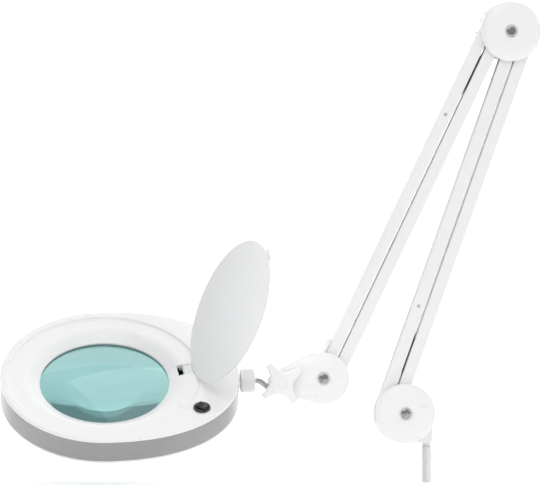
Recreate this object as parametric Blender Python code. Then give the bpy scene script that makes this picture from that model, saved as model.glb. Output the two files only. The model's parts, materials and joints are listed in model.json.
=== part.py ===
"""Clamp-on magnifying lamp: a ring-lit lens head on a two-stage parallelogram arm.

Frame: metres, +Z up, origin at the centre of the mounting post's bottom face.  The arms
move in the XZ plane and the front of the lamp, the side with the star knob, faces -Y.
"""
import math

import bmesh
import bpy
from mathutils import Matrix, Vector

# ---------------------------------------------------------------- driving dimensions
GAP = 0.0003                # clearance between pieces that touch
PIN_CLEAR = 0.00015         # radial clearance of a pin in the piece that turns on it
LOOP_CLEAR = 0.0005         # radial clearance at the pivot where a linkage is opened

# Mounting post
POST_RADIUS = 0.0050
POST_LENGTH = 0.0335
POST_COLLAR_HEIGHT = 0.0030
POST_COLLAR_RADIUS = 0.0047
POST_CHAMFER = 0.0008
POST_SPIGOT = 0.0100        # part of the post inside the base bracket
SPIGOT_STEP = 0.0012        # the spigot is this much thinner than the collar
POST_STEP = 0.0006
POST_TO_JOINT = 0.0212      # sideways, from the post's axis to the base joint's centre
BASE_HEIGHT = 0.0648        # base joint's centre above the post's bottom face

# Arms
ARM_LENGTH = 0.3654         # pivot to pivot
LOWER_ANGLE = 70.3          # degrees above the horizontal
UPPER_ANGLE = 64.5
BAR_WIDTH = 0.0116          # across the arm, in the plane it moves in
BAR_DEPTH = 0.0200          # along the pivots
BAR_WALL = 0.0015
BAR_SPACE = 0.0018          # between the two bars of an arm
LOWER_STAGGER = 0.0134      # how far one pivot of a bar pair is ahead of the other
UPPER_STAGGER = -0.0112
PIN_RADIUS = 0.0022

# Pivots from their joint's centre, as (across the arm, along the arm)
BAR_TO_SCREW = 0.0001       # from the base's second bar to the tension screw
ELBOW_LOWER_PIVOT = (0.0054, -0.0090)
ELBOW_BAR_SPACE = 0.0022    # at the elbow, from the upper arm's bars to the lower arm's
ELBOW_UPPER_AHEAD = 0.0022
FRONT_PIVOT = (-0.0023, 0.0100)

# Joint housings
DISC_MARGIN = 0.0062        # a disc's edge beyond its outermost pivot
FRONT_RADIUS = 0.0246
FRONT_NOSE_RADIUS = 0.0108
PLATE_THICKNESS = 0.0024
PLATE_INSET = 0.0010        # the plates stay this far inside the caps' outline
BAR_SIDE_GAP = 0.0006       # from a bar to the plate beside it
CAP_HEIGHT = 0.0062
CAP_RIM = 0.0024            # straight part of a cap's edge
HUB_BRIDGE_CLEAR = 0.00133  # from the upper arm's first bar to the elbow hub's bridge
BASE_BRIDGE = 0.0080        # depth at which the base bracket's bridge starts
BASE_BLOCK_HALF = 0.0090    # half depth of the block that holds the post
BASE_BLOCK_INSIDE = 0.0110  # from the post's axis to the block's inner side
BASE_BLOCK_TOP = 0.0060     # below the base joint's centre
BRIDGE_TO_EYE = 0.0050      # from the front bracket's bridge to the neck's eye
BRIDGE_TO_BAR = 0.0044
STOP_START = 0.0150
STOP_INSET = 0.0010         # the strap is this much narrower than the plates
STOP_LENGTH = 0.0370        # the stop strap runs this far along the arm
STOP_THICKNESS = 0.0035

# Tension screws
SCREW_RADIUS = 0.0029
SCREW_HEAD_RADIUS = 0.0047
SCREW_HEAD_HEIGHT = 0.0018
SCREW_SLOT = 0.0011
SCREW_SLOT_DEPTH = 0.0010
SCREW_SLOT_ANGLE = -40.0
SCREW_CHAMFER = 0.0005
SCREW_END = 0.0012          # what shows of a screw beyond its nut
NUT_RADIUS = 0.0055
NUT_HEIGHT = 0.0030
DIMPLE_DEPTH = 0.0014

# Arm springs
SPRING_RADIUS = 0.0032
SPRING_WIRE = 0.0010
SPRING_PIN_RADIUS = 0.0015
SPRING_REACH = 0.1000       # along the bar to the pin that it pulls on
SPRING_HOOK = 0.0160

# Head joint and star knob
KNOB_OFFSET = (-0.0400, -0.0042)
KNOB_RADIUS = 0.0221
KNOB_LOBE_WIDTH = 0.0064
KNOB_HUB_RADIUS = 0.0105
KNOB_THICKNESS = 0.0085
KNOB_ANGLE = 36.0
KNOB_STANDOFF = 0.0008
STUD_RADIUS = 0.0030
EYE_RADIUS = 0.0085
STUD_END = 0.0015
KNOB_CUP_RADIUS = 0.0045
KNOB_CUP_DEPTH = 0.0010

# Neck
ROD_RADIUS = 0.00275
COLLAR_RADIUS = 0.0113
COLLAR_LENGTH = 0.0140
COLLAR_BEVEL = 0.0010
SOCKET_RADIUS = 0.0070
SOCKET_REACH = 0.0110       # how far the socket's tube goes into the collar
COLLAR_STANDOFF = 0.0085    # from the rim to the collar's middle
NECK_REACH = 0.031007       # from the collar's middle to the knob's axis
NECK_RISE = 0.007259        # the lens's centre above the knob's axis
NECK_DROP = 0.0120          # below the rim's plane
ROD_INSERT = 0.0120         # how far the rod's end is inside the rim
SOCKET_SIZE = (0.0178, 0.0170)
SOCKET_WALL_GAP = 0.0012
SOCKET_FLOOR_GAP = 0.0015

# Head
LENS_OPENING = 0.0610
BEVEL_WIDTH = 0.0120
BEVEL_DEPTH = 0.0085
DISH_LEDGE = 0.0180         # flat ring of the dish around the bevel
DISH_DRAFT = 0.0008
DISH_DEPTH = 0.0020
LAND_WIDTH = 0.0075         # flat rim around the dish
NOSE_REACH = 0.0285         # how much further the rim goes on the neck's side
HEAD_EXPONENT = 2.25
HEAD_ROLL = 36.7
HEAD_PITCH = 1.92
SHELL_WALL = 0.0026
RIM_WALL = 0.0050
LENS_LEDGE = 0.0056         # the lens's seat beyond its opening
LENS_TUBE_WALL = 0.0020
LENS_TUBE_INSET = 0.0010    # the tube stops this far above the underside
BAND_TOP = 0.0030
BAND_HEIGHT = 0.0215
BAND_WALL = 0.0018
BOTTOM_HEIGHT = 0.0035      # what shows of the bottom shell below the band
BOTTOM_BEVEL = 0.0015
HEAD_POINTS = 48            # points around each loop of the head

# Lens
LENS_EDGE = 0.0050
LENS_SAG = 0.0062
LENS_SEAT = 0.0100          # below the rim's plane
RETAINER_HEIGHT = 0.0035

# Ring light
DIFFUSER_INSET = 0.0100     # inside the head's half width
DIFFUSER_THICKNESS = 0.0020
BOARD_THICKNESS = 0.0016
BOARD_HEIGHT = 0.0060       # board above the diffuser
DRIVER_SIZE = (0.0140, 0.0340)
DRIVER_INSET = 0.0151       # inside the rim
DRIVER_AZIMUTH = 34.0

# Shell screws
SHELL_SCREW_RADIUS = 0.0012
SHELL_SCREW_HEAD = 0.0026
SHELL_SCREW_HEAD_HEIGHT = 0.0014
SHELL_SCREW_LENGTH = 0.0120
BOSS_RADIUS = 0.0030
BOSS_INSET = 0.0054         # inside the head's half width
BOSS_ANGLES = (50.0, 130.0, 230.0, 310.0)

# Lens cover
COVER_INSET = 0.0025        # inside the bevel's outer edge
COVER_WALL = 0.0018
COVER_DOME = 0.0058
COVER_RIM = 0.0013
COVER_REACH = 0.0075        # from the cover's edge to the hinge pin
COVER_PIVOT_DROP = 0.0050
COVER_AZIMUTH = 6.0
COVER_OPEN = 119.4          # degrees that it is swung up from closed
HINGE_WIDTH = 0.0144
HINGE_KNUCKLE = 0.0027
HINGE_PIN_RADIUS = 0.0013
HINGE_LUG = 0.0030
HINGE_LUG_MARGIN = 0.0022
HINGE_LUG_DEPTH = 0.0040
HINGE_SLOT = (0.0078, 0.0100)
HINGE_SLOT_DEPTH = 0.0045
FINGER_TAB = (0.0160, 0.0035, 0.0016)

# Switch
SWITCH_INSET = 0.01732      # inside the rim
SWITCH_AZIMUTH = -31.8
SWITCH_RADIUS = 0.0080
SWITCH_BARREL = 0.0068
SWITCH_BARREL_DEPTH = 0.0120
SWITCH_FLANGE = 0.0015
ROCKER_SIZE = (0.0072, 0.0104)
ROCKER_TOP = 0.0042         # above the rocker's axis
ROCKER_DROP = 0.0036
ROCKER_FOOT = 0.0030
ROCKER_WELL = 0.0085
ROCKER_THROW = 24.0

# Points around a full circle
SMALL_STEPS = 12
MEDIUM_STEPS = 20
DISC_STEPS = 32
LENS_STEPS = HEAD_POINTS    # so that the optics' facets line up with the tube's

# ---------------------------------------------------------------- worked-out sizes
BAR_PITCH = BAR_WIDTH + BAR_SPACE
BAR_RADIUS = BAR_WIDTH / 2
BASE_PIVOT = (-(SCREW_RADIUS + BAR_TO_SCREW + BAR_RADIUS + BAR_PITCH), 0.0)
ELBOW_UPPER_PIVOT = (ELBOW_LOWER_PIVOT[0] - BAR_WIDTH - ELBOW_BAR_SPACE - BAR_PITCH,
                     ELBOW_UPPER_AHEAD)
DISC_RADIUS = DISC_MARGIN - BASE_PIVOT[0]
NOSE_BRIDGE = (KNOB_OFFSET[0] + EYE_RADIUS + BRIDGE_TO_EYE,
               FRONT_PIVOT[0] - BAR_RADIUS - BRIDGE_TO_BAR)
PLATE_IN = BAR_DEPTH / 2 + BAR_SIDE_GAP
PLATE_OUT = PLATE_IN + PLATE_THICKNESS
CAP_BASE = PLATE_OUT + GAP
CAP_TOP = CAP_BASE + CAP_HEIGHT
THROUGH = CAP_TOP + 0.0100  # half length of a cutter that passes a whole joint
PAST = 0.0010               # how far a cutter passes a face
BEVEL_OUTER = LENS_OPENING + BEVEL_WIDTH
DISH_RADIUS = BEVEL_OUTER + DISH_LEDGE
LENS_TUBE_RADIUS = LENS_OPENING + LENS_LEDGE
HEAD_HALF_WIDTH = DISH_RADIUS + LAND_WIDTH
HEAD_NECK_REACH = HEAD_HALF_WIDTH + NOSE_REACH
NECK_RADIUS = HEAD_NECK_REACH + COLLAR_STANDOFF
DIFFUSER_OUTER = HEAD_HALF_WIDTH - DIFFUSER_INSET
BOSS_PLACE = HEAD_HALF_WIDTH - BOSS_INSET
BAND_BOTTOM = BAND_TOP + BAND_HEIGHT
HEAD_DEPTH = BAND_BOTTOM + BOTTOM_HEIGHT
COVER_RADIUS = BEVEL_OUTER - COVER_INSET
COVER_PIVOT = COVER_RADIUS + COVER_REACH


def across(angle):
    """Unit vector across an arm that stands at this angle, pointing right."""
    return Vector((math.sin(math.radians(angle)), 0.0, -math.cos(math.radians(angle))))


def along(angle):
    """Unit vector up an arm that stands at this angle."""
    return Vector((math.cos(math.radians(angle)), 0.0, math.sin(math.radians(angle))))


def arm_point(angle, place):
    return across(angle) * place[0] + along(angle) * place[1]


def rim_radius(angle):
    """Distance from the lens's axis to the head's outline in a direction, in radians."""
    if math.cos(angle) <= 0.0:
        return HEAD_HALF_WIDTH
    ahead = (math.cos(angle) / HEAD_NECK_REACH) ** HEAD_EXPONENT
    aside = (abs(math.sin(angle)) / HEAD_HALF_WIDTH) ** HEAD_EXPONENT
    return (ahead + aside) ** (-1.0 / HEAD_EXPONENT)


def second(place, stagger):
    """Pivot of the second bar of a pair, from the first bar's pivot."""
    return (place[0] + BAR_PITCH, place[1] + stagger)


BASE_JOINT = Vector((-POST_TO_JOINT, 0.0, BASE_HEIGHT))
LOWER_A = BASE_JOINT + arm_point(LOWER_ANGLE, BASE_PIVOT)
LOWER_B = BASE_JOINT + arm_point(LOWER_ANGLE, second(BASE_PIVOT, LOWER_STAGGER))
ELBOW_A = LOWER_A + along(LOWER_ANGLE) * ARM_LENGTH
ELBOW_B = LOWER_B + along(LOWER_ANGLE) * ARM_LENGTH
ELBOW_JOINT = ELBOW_A - arm_point(LOWER_ANGLE, ELBOW_LOWER_PIVOT)
UPPER_A = ELBOW_JOINT + arm_point(UPPER_ANGLE, ELBOW_UPPER_PIVOT)
UPPER_B = ELBOW_JOINT + arm_point(UPPER_ANGLE, second(ELBOW_UPPER_PIVOT, UPPER_STAGGER))
HUB_BRIDGE = UPPER_A.z - ELBOW_JOINT.z + BAR_RADIUS + HUB_BRIDGE_CLEAR
FRONT_A = UPPER_A - along(UPPER_ANGLE) * ARM_LENGTH
FRONT_B = UPPER_B - along(UPPER_ANGLE) * ARM_LENGTH
FRONT_JOINT = FRONT_A - arm_point(UPPER_ANGLE, FRONT_PIVOT)
KNOB_JOINT = FRONT_JOINT + Vector((KNOB_OFFSET[0], 0.0, KNOB_OFFSET[1]))

HEAD_TURN = (Matrix.Rotation(math.radians(-HEAD_PITCH), 4, "Y")
             @ Matrix.Rotation(math.radians(HEAD_ROLL), 4, "X"))
HEAD_PLACE = KNOB_JOINT + Vector((-NECK_RADIUS - NECK_REACH,
                                  -NECK_DROP * math.sin(math.radians(HEAD_ROLL)), NECK_RISE))
SWITCH_PLACE = (rim_radius(math.radians(SWITCH_AZIMUTH)) - SWITCH_INSET, SWITCH_AZIMUTH)
DRIVER_PLACE = (rim_radius(math.radians(DRIVER_AZIMUTH)) - DRIVER_INSET, DRIVER_AZIMUTH)
COVER_SWING = Matrix.Rotation(math.radians(COVER_OPEN), 4, "Y")

# ---------------------------------------------------------------- materials
FINISHES = {
    "white_abs": ((0.86, 0.86, 0.86), 0.32, 0.0),
    "white_painted_steel": ((0.84, 0.84, 0.85), 0.38, 0.0),
    "brushed_silver": ((0.42, 0.42, 0.42), 0.35, 0.9),
    "nickel_steel": ((0.62, 0.62, 0.62), 0.25, 1.0),
    "chrome": ((0.75, 0.75, 0.76), 0.12, 1.0),
    "spring_steel": ((0.35, 0.35, 0.36), 0.35, 1.0),
    "lens_glass": ((0.45, 0.72, 0.70), 0.05, 0.0),
    "black_plastic": ((0.03, 0.03, 0.03), 0.4, 0.0),
    "diffuser_acrylic": ((0.9, 0.9, 0.88), 0.5, 0.0),
    "circuit_board": ((0.10, 0.28, 0.16), 0.5, 0.0),
}


def finish(name):
    """The named finish, made the first time that it is asked for."""
    made = bpy.data.materials.get(name)
    if made:
        return made
    colour, roughness, metallic = FINISHES[name]
    made = bpy.data.materials.new(name)
    made.use_nodes = True
    shader = made.node_tree.nodes["Principled BSDF"]
    shader.inputs["Base Color"].default_value = (*colour, 1.0)
    shader.inputs["Roughness"].default_value = roughness
    shader.inputs["Metallic"].default_value = metallic
    return made


# ---------------------------------------------------------------- frames and objects
FRAMES = {}


def frame(name, place, parent=None):
    """An empty on a joint's axis, which the pieces of one moving group hang from."""
    world = place if isinstance(place, Matrix) else Matrix.Translation(place)
    empty = bpy.data.objects.new(name, None)
    empty.empty_display_size = 0.01
    bpy.context.scene.collection.objects.link(empty)
    if parent:
        empty.parent = bpy.data.objects[parent]
        empty.matrix_basis = FRAMES[parent].inverted() @ world
    else:
        empty.matrix_basis = world
    FRAMES[name] = world


def add_piece(name, mesh_data, parent, material, place=(0.0, 0.0, 0.0), turn=None):
    """Turn a bmesh into an object under its frame, with outward faces and smooth rounds."""
    bmesh.ops.recalc_face_normals(mesh_data, faces=mesh_data.faces)
    mesh = bpy.data.meshes.new(name)
    mesh_data.to_mesh(mesh)
    mesh_data.free()
    mesh.materials.append(finish(material))
    mesh.shade_smooth()
    mesh.set_sharp_from_angle(angle=math.radians(32.0))
    obj = bpy.data.objects.new(name, mesh)
    bpy.context.scene.collection.objects.link(obj)
    obj.parent = bpy.data.objects[parent]
    obj.matrix_basis = Matrix.Translation(place) @ (turn or Matrix.Identity(4))
    return obj


def combine(obj, mesh_data, operation, place=(0.0, 0.0, 0.0), turn=None):
    """Cut a tool shape from an object, or join it on."""
    tool = add_piece("tool_" + obj.name, mesh_data, obj.parent.name,
                     obj.data.materials[0].name, place, turn)
    tool.hide_render = True
    tool.display_type = "WIRE"
    step = obj.modifiers.new(operation.lower(), "BOOLEAN")
    step.operation = operation
    step.solver = "EXACT"
    step.object = tool


def cut(obj, mesh_data, place=(0.0, 0.0, 0.0), turn=None):
    combine(obj, mesh_data, "DIFFERENCE", place, turn)


def join(obj, mesh_data, place=(0.0, 0.0, 0.0), turn=None):
    combine(obj, mesh_data, "UNION", place, turn)


# ---------------------------------------------------------------- shapes
def loft(loops, ring=False):
    """Skin through loops of equally many points; a ring closes on itself, else its ends fill."""
    shape = bmesh.new()
    rows = [[shape.verts.new(point) for point in loop] for loop in loops]
    pairs = list(zip(rows, rows[1:] + rows[:1])) if ring else list(zip(rows, rows[1:]))
    count = len(rows[0])
    for low, high in pairs:
        for index in range(count):
            after = (index + 1) % count
            shape.faces.new((low[index], low[after], high[after], high[index]))
    if not ring:
        shape.faces.new(rows[0][::-1])
        shape.faces.new(rows[-1])
    return shape


def arc(radius, start, end, steps, centre=(0.0, 0.0)):
    """Points in the XZ plane along an arc, angles in degrees."""
    points = []
    for index in range(steps + 1):
        angle = math.radians(start + (end - start) * index / steps)
        points.append((centre[0] + radius * math.cos(angle),
                       centre[1] + radius * math.sin(angle)))
    return points


def full_circle(radius, steps, centre=(0.0, 0.0)):
    return arc(radius, 0.0, 360.0, steps, centre)[:-1]


def prism(outline, low, high):
    """Outline in the XZ plane, extruded along Y."""
    return loft([[(x, low, z) for x, z in outline], [(x, high, z) for x, z in outline]])


def rod(radius, low, high, steps=SMALL_STEPS, centre=(0.0, 0.0)):
    """Cylinder along Y."""
    return prism(full_circle(radius, steps, centre), low, high)


def turned(profile, steps):
    """Solid of revolution about Z from (radius, height) points, closed on its ends."""
    loops = []
    for radius, height in profile:
        loops.append([(x, y, height) for x, y in full_circle(radius, steps)])
    return loft(loops)


def turned_ring(profile, steps):
    """Ring of revolution about Z from a closed (radius, height) section."""
    loops = []
    for radius, height in profile:
        loops.append([(x, y, height) for x, y in full_circle(radius, steps)])
    return loft(loops, ring=True)


def block(low, high):
    """Box between two corners."""
    shape = bmesh.new()
    bmesh.ops.create_cube(shape, size=1.0)
    for vert in shape.verts:
        for axis in range(3):
            half = (high[axis] - low[axis]) / 2
            vert.co[axis] = low[axis] + half + vert.co[axis] * 2 * half
    return shape


def capsule(radius, length, steps=8):
    """Stadium outline in the XZ plane, from the origin up to (0, length)."""
    return arc(radius, 0.0, 180.0, steps, (0.0, length)) + arc(radius, 180.0, 360.0, steps)


def pear(big, small, offset, steps=22):
    """Outline around a big circle at the origin and a small one at offset, by tangents."""
    distance = math.hypot(*offset)
    heading = math.degrees(math.atan2(offset[1], offset[0]))
    spread = math.degrees(math.acos((big - small) / distance))
    nose = arc(small, heading - spread, heading + spread, steps // 2, offset)
    back = arc(big, heading + spread, heading - spread + 360.0, steps)
    return nose + back


def sweep(points, radius, steps=SMALL_STEPS):
    """Round bar along a path in the XZ plane."""
    loops = []
    for index, point in enumerate(points):
        before = Vector(points[max(index - 1, 0)])
        after = Vector(points[min(index + 1, len(points) - 1)])
        heading = (after - before).normalized()
        side = Vector((heading[1], -heading[0]))
        loop = []
        for across_side, depth in full_circle(radius, steps):
            loop.append((point[0] + side[0] * across_side, depth,
                         point[1] + side[1] * across_side))
        loops.append(loop)
    return loft(loops)


# ---------------------------------------------------------------- joint housings
def add_cap(name, parent, outline_at, side):
    """Domed cap over one side of a joint; outline_at gives its outline at an inset."""
    steps = ((0.0, 0.0), (0.0, CAP_RIM), (0.0011, 0.0039), (0.0034, 0.0052), (0.0078, CAP_HEIGHT))
    loops = []
    for inset, height in steps:
        level = side * (CAP_BASE + height)
        loops.append([(x, level, z) for x, z in outline_at(inset)])
    cap = add_piece(name, loft(loops), parent, "white_abs")
    hole = SCREW_RADIUS + GAP
    cut(cap, rod(hole, side * (CAP_BASE - PAST), side * (CAP_TOP + PAST)))
    seat = NUT_RADIUS + GAP
    cut(cap, rod(seat, side * (CAP_TOP - DIMPLE_DEPTH), side * (CAP_TOP + PAST), MEDIUM_STEPS))
    return cap


def disc_outline(inset):
    return full_circle(DISC_RADIUS - inset, DISC_STEPS)


def pear_outline(inset):
    return pear(FRONT_RADIUS - inset, FRONT_NOSE_RADIUS - inset, KNOB_OFFSET)


def add_tension_screw(joint, parent):
    """Slotted screw through a joint housing, with its nut at the back."""
    seat = CAP_TOP - DIMPLE_DEPTH
    head_face = -(seat + GAP + SCREW_HEAD_HEIGHT)
    profile = (
        (SCREW_HEAD_RADIUS - SCREW_CHAMFER, head_face),
        (SCREW_HEAD_RADIUS, head_face + SCREW_CHAMFER),
        (SCREW_HEAD_RADIUS, -(seat + GAP)),
        (SCREW_RADIUS, -(seat + GAP)),
        (SCREW_RADIUS, seat + NUT_HEIGHT + SCREW_END - SCREW_CHAMFER),
        (SCREW_RADIUS - SCREW_CHAMFER, seat + NUT_HEIGHT + SCREW_END),
    )
    loops = [[(x, level, z) for x, z in full_circle(radius, MEDIUM_STEPS)] for radius, level in profile]
    screw = add_piece(joint + "_tension_screw", loft(loops), parent, "chrome")
    reach = SCREW_HEAD_RADIUS + PAST
    low = (-reach, head_face - PAST, -SCREW_SLOT / 2)
    high = (reach, head_face + SCREW_SLOT_DEPTH, SCREW_SLOT / 2)
    cut(screw, block(low, high), turn=Matrix.Rotation(math.radians(SCREW_SLOT_ANGLE), 4, "Y"))
    nut_low = seat + GAP
    nut = add_piece(joint + "_nut", rod(NUT_RADIUS, nut_low, nut_low + NUT_HEIGHT, 6),
                    parent, "nickel_steel")
    cut(nut, rod(SCREW_RADIUS + PIN_CLEAR, nut_low - PAST, nut_low + NUT_HEIGHT + PAST,
                 MEDIUM_STEPS))


def pin_holes(obj, places, radius=PIN_RADIUS + PIN_CLEAR):
    for place in places:
        cut(obj, rod(radius, -THROUGH, THROUGH, SMALL_STEPS, (place[0], place[2])))


def add_pin(name, parent, place):
    add_piece(name, rod(PIN_RADIUS, -PLATE_OUT + GAP, PLATE_OUT - GAP), parent,
              "nickel_steel", place)


def housing_outline(inset):
    return full_circle(DISC_RADIUS - PLATE_INSET - inset, DISC_STEPS)


def add_base():
    """Bracket on the mounting post, with the lower arm's pivots between its plates."""
    outline = housing_outline(0.0)
    bracket = add_piece("base_bracket", prism(outline, -PLATE_OUT, PLATE_OUT), "base",
                        "white_painted_steel")
    post_top = POST_LENGTH + POST_COLLAR_HEIGHT - BASE_HEIGHT
    low = (POST_TO_JOINT - BASE_BLOCK_INSIDE, -BASE_BLOCK_HALF, post_top + GAP)
    high = (POST_TO_JOINT + POST_RADIUS, BASE_BLOCK_HALF, -BASE_BLOCK_TOP)
    join(bracket, block(low, high))
    reach = DISC_RADIUS + PAST
    cut(bracket, block((-reach, -PLATE_IN, -BASE_BRIDGE), (reach, PLATE_IN, reach)))
    pivots = (LOWER_A - BASE_JOINT, LOWER_B - BASE_JOINT)
    pin_holes(bracket, pivots)
    cut(bracket, rod(SCREW_RADIUS + GAP, -THROUGH, THROUGH))
    spigot = full_circle(POST_COLLAR_RADIUS - SPIGOT_STEP + PIN_CLEAR, MEDIUM_STEPS)
    loops = [[(POST_TO_JOINT + x, y, level) for x, y in spigot]
             for level in (post_top - PAST, post_top + POST_SPIGOT + 2 * GAP)]
    cut(bracket, loft(loops))
    for side, label in ((-1, "front"), (1, "back")):
        add_cap("base_cap_" + label, "base", disc_outline, side)
    add_tension_screw("base", "base")
    add_pin("base_pivot_pin_a", "base", pivots[0])
    add_pin("base_pivot_pin_b", "base", pivots[1])
    add_post(post_top)


def add_post(top):
    """Turned post that stands in a table clamp."""
    bottom = -BASE_HEIGHT
    neck = top - POST_COLLAR_HEIGHT
    profile = (
        (POST_RADIUS - POST_CHAMFER, bottom),
        (POST_RADIUS, bottom + POST_CHAMFER),
        (POST_RADIUS, neck - POST_STEP),
        (POST_COLLAR_RADIUS - POST_CHAMFER, neck),
        (POST_COLLAR_RADIUS, neck + POST_STEP),
        (POST_COLLAR_RADIUS, top),
        (POST_COLLAR_RADIUS - SPIGOT_STEP, top),
        (POST_COLLAR_RADIUS - SPIGOT_STEP, top + POST_SPIGOT),
    )
    add_piece("mounting_post", turned(profile, MEDIUM_STEPS), "base", "nickel_steel",
              (POST_TO_JOINT, 0.0, 0.0))


def spring_window(stagger, anchor, low, high):
    """Where, along a bar, the spring passes a web that reaches across from low to high."""
    reach = SPRING_RADIUS + 2 * GAP
    run = anchor - stagger
    ends = [stagger + run * (BAR_PITCH - place) / BAR_PITCH for place in (high + reach, low - reach)]
    return min(ends), max(ends)


def add_bar(name, parent, web_side, heading, far_clear=PIN_CLEAR, anchor=None, window=None):
    """U-channel bar; web_side is -1 or 1 and heading -1 or 1 along local Z."""
    shift = 0.0 if heading > 0 else -ARM_LENGTH
    outline = [(x, z + shift) for x, z in capsule(BAR_RADIUS, ARM_LENGTH)]
    bar = add_piece(name, prism(outline, -BAR_DEPTH / 2, BAR_DEPTH / 2), parent,
                    "white_painted_steel")
    web = web_side * (BAR_RADIUS - BAR_WALL)
    mouth = -web_side * (BAR_RADIUS + PAST)
    inner = BAR_DEPTH / 2 - BAR_WALL
    low = (min(web, mouth), -inner, shift - BAR_WIDTH)
    high = (max(web, mouth), inner, shift + ARM_LENGTH + BAR_WIDTH)
    cut(bar, block(low, high))
    if window is not None:
        half = SPRING_RADIUS + 2 * GAP
        outer = web_side * (BAR_RADIUS + PAST)
        cut(bar, block((min(web, outer), -half, window[0]), (max(web, outer), half, window[1])))
    pin_holes(bar, (Vector((0.0, 0.0, 0.0)),))
    pin_holes(bar, (Vector((0.0, 0.0, heading * ARM_LENGTH)),), PIN_RADIUS + far_clear)
    if anchor is not None:
        pin_holes(bar, (Vector((0.0, 0.0, anchor)),), SPRING_PIN_RADIUS + PIN_CLEAR)
    return bar


def add_spring(name, parent, start, anchor):
    """Tension spring from the second bar's pivot to a pin across the first bar's channel."""
    end = (0.0, anchor)
    span = Vector((end[0] - start[0], end[1] - start[1]))
    length = span.length
    heading = span.normalized()
    side = Vector((heading[1], -heading[0]))
    start_clear = PIN_RADIUS + GAP
    end_clear = SPRING_PIN_RADIUS + GAP
    stations = (
        (start_clear, SPRING_WIRE),
        (start_clear + SPRING_HOOK, SPRING_WIRE),
        (start_clear + SPRING_HOOK, SPRING_RADIUS),
        (length - end_clear - SPRING_HOOK, SPRING_RADIUS),
        (length - end_clear - SPRING_HOOK, SPRING_WIRE),
        (length - end_clear, SPRING_WIRE),
    )
    loops = []
    for distance, radius in stations:
        loop = []
        for across_side, depth in full_circle(radius, SMALL_STEPS):
            loop.append((start[0] + heading[0] * distance + side[0] * across_side, depth,
                         start[1] + heading[1] * distance + side[1] * across_side))
        loops.append(loop)
    add_piece(name, loft(loops), parent, "spring_steel")
    half = BAR_DEPTH / 2 - GAP
    add_piece(name + "_pin", rod(SPRING_PIN_RADIUS, -half, half), parent,
              "nickel_steel", (0.0, 0.0, anchor))


def add_elbow():
    """Hub between the two arms; its bridge is above every pivot."""
    hub = add_piece("elbow_hub", prism(housing_outline(0.0), -PLATE_OUT, PLATE_OUT), "elbow",
                    "white_painted_steel")
    reach = DISC_RADIUS + PAST
    cut(hub, block((-reach, -PLATE_IN, -reach), (reach, PLATE_IN, HUB_BRIDGE)))
    pivots = {
        "elbow_lower_pin_a": ELBOW_A - ELBOW_JOINT,
        "elbow_lower_pin_b": ELBOW_B - ELBOW_JOINT,
        "elbow_upper_pin_a": UPPER_A - ELBOW_JOINT,
        "elbow_upper_pin_b": UPPER_B - ELBOW_JOINT,
    }
    pin_holes(hub, pivots.values())
    cut(hub, rod(SCREW_RADIUS + GAP, -THROUGH, THROUGH))
    for side, label in ((-1, "front"), (1, "back")):
        add_cap("elbow_cap_" + label, "elbow", disc_outline, side)
    add_tension_screw("elbow", "elbow")
    for name, place in pivots.items():
        add_pin(name, "elbow", place)


def add_front():
    """Bracket at the end of the arm; its nose is a fork for the neck's eye."""
    outline = pear(FRONT_RADIUS - PLATE_INSET, FRONT_NOSE_RADIUS - PLATE_INSET, KNOB_OFFSET)
    bracket = add_piece("front_bracket", prism(outline, -PLATE_OUT, PLATE_OUT), "front",
                        "white_painted_steel")
    reach = FRONT_RADIUS + STOP_LENGTH
    cut(bracket, block((NOSE_BRIDGE[1], -PLATE_IN, -reach), (reach, PLATE_IN, reach)))
    cut(bracket, block((KNOB_OFFSET[0] - reach, -PLATE_IN, -reach),
                       (NOSE_BRIDGE[0], PLATE_IN, reach)))
    edge = FRONT_PIVOT[0] - BAR_RADIUS - GAP
    strap = block((edge - STOP_THICKNESS, -PLATE_OUT + STOP_INSET, STOP_START),
                  (edge, PLATE_OUT - STOP_INSET, STOP_LENGTH))
    join(bracket, strap, turn=Matrix.Rotation(math.radians(90.0 - UPPER_ANGLE), 4, "Y"))
    pivots = (FRONT_A - FRONT_JOINT, FRONT_B - FRONT_JOINT)
    pin_holes(bracket, pivots)
    cut(bracket, rod(SCREW_RADIUS + GAP, -THROUGH, THROUGH))
    cut(bracket, rod(STUD_RADIUS + PIN_CLEAR, -THROUGH, THROUGH, SMALL_STEPS, KNOB_OFFSET))
    for side, label in ((-1, "front"), (1, "back")):
        cap = add_cap("front_cap_" + label, "front", pear_outline, side)
        cut(cap, rod(STUD_RADIUS + GAP, side * (CAP_BASE - PAST), side * (CAP_TOP + PAST),
                     SMALL_STEPS, KNOB_OFFSET))
    add_tension_screw("front", "front")
    add_pin("front_pivot_pin_a", "front", pivots[0])
    add_pin("front_pivot_pin_b", "front", pivots[1])


def star_outline(inset):
    """Four-lobed knob outline: straight lobes joined by hollow flanks."""
    half = KNOB_LOBE_WIDTH / 2 - inset
    tip = KNOB_RADIUS - inset
    points = []
    for lobe in range(4):
        turn = math.radians(KNOB_ANGLE + 90.0 * lobe)
        flank = KNOB_HUB_RADIUS - inset
        local = [(tip - 0.0012, -half), (tip, -half + 0.0014), (tip, half - 0.0014),
                 (tip - 0.0012, half), (flank + 0.0042, half + 0.0012)]
        for x, z in local:
            points.append((x * math.cos(turn) - z * math.sin(turn),
                           x * math.sin(turn) + z * math.cos(turn)))
        valley = turn + math.radians(45.0)
        points.append((flank * math.cos(valley), flank * math.sin(valley)))
        x, z = flank + 0.0042, -half - 0.0012
        turn += math.radians(90.0)
        points.append((x * math.cos(turn) - z * math.sin(turn),
                       x * math.sin(turn) + z * math.cos(turn)))
    return points


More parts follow.
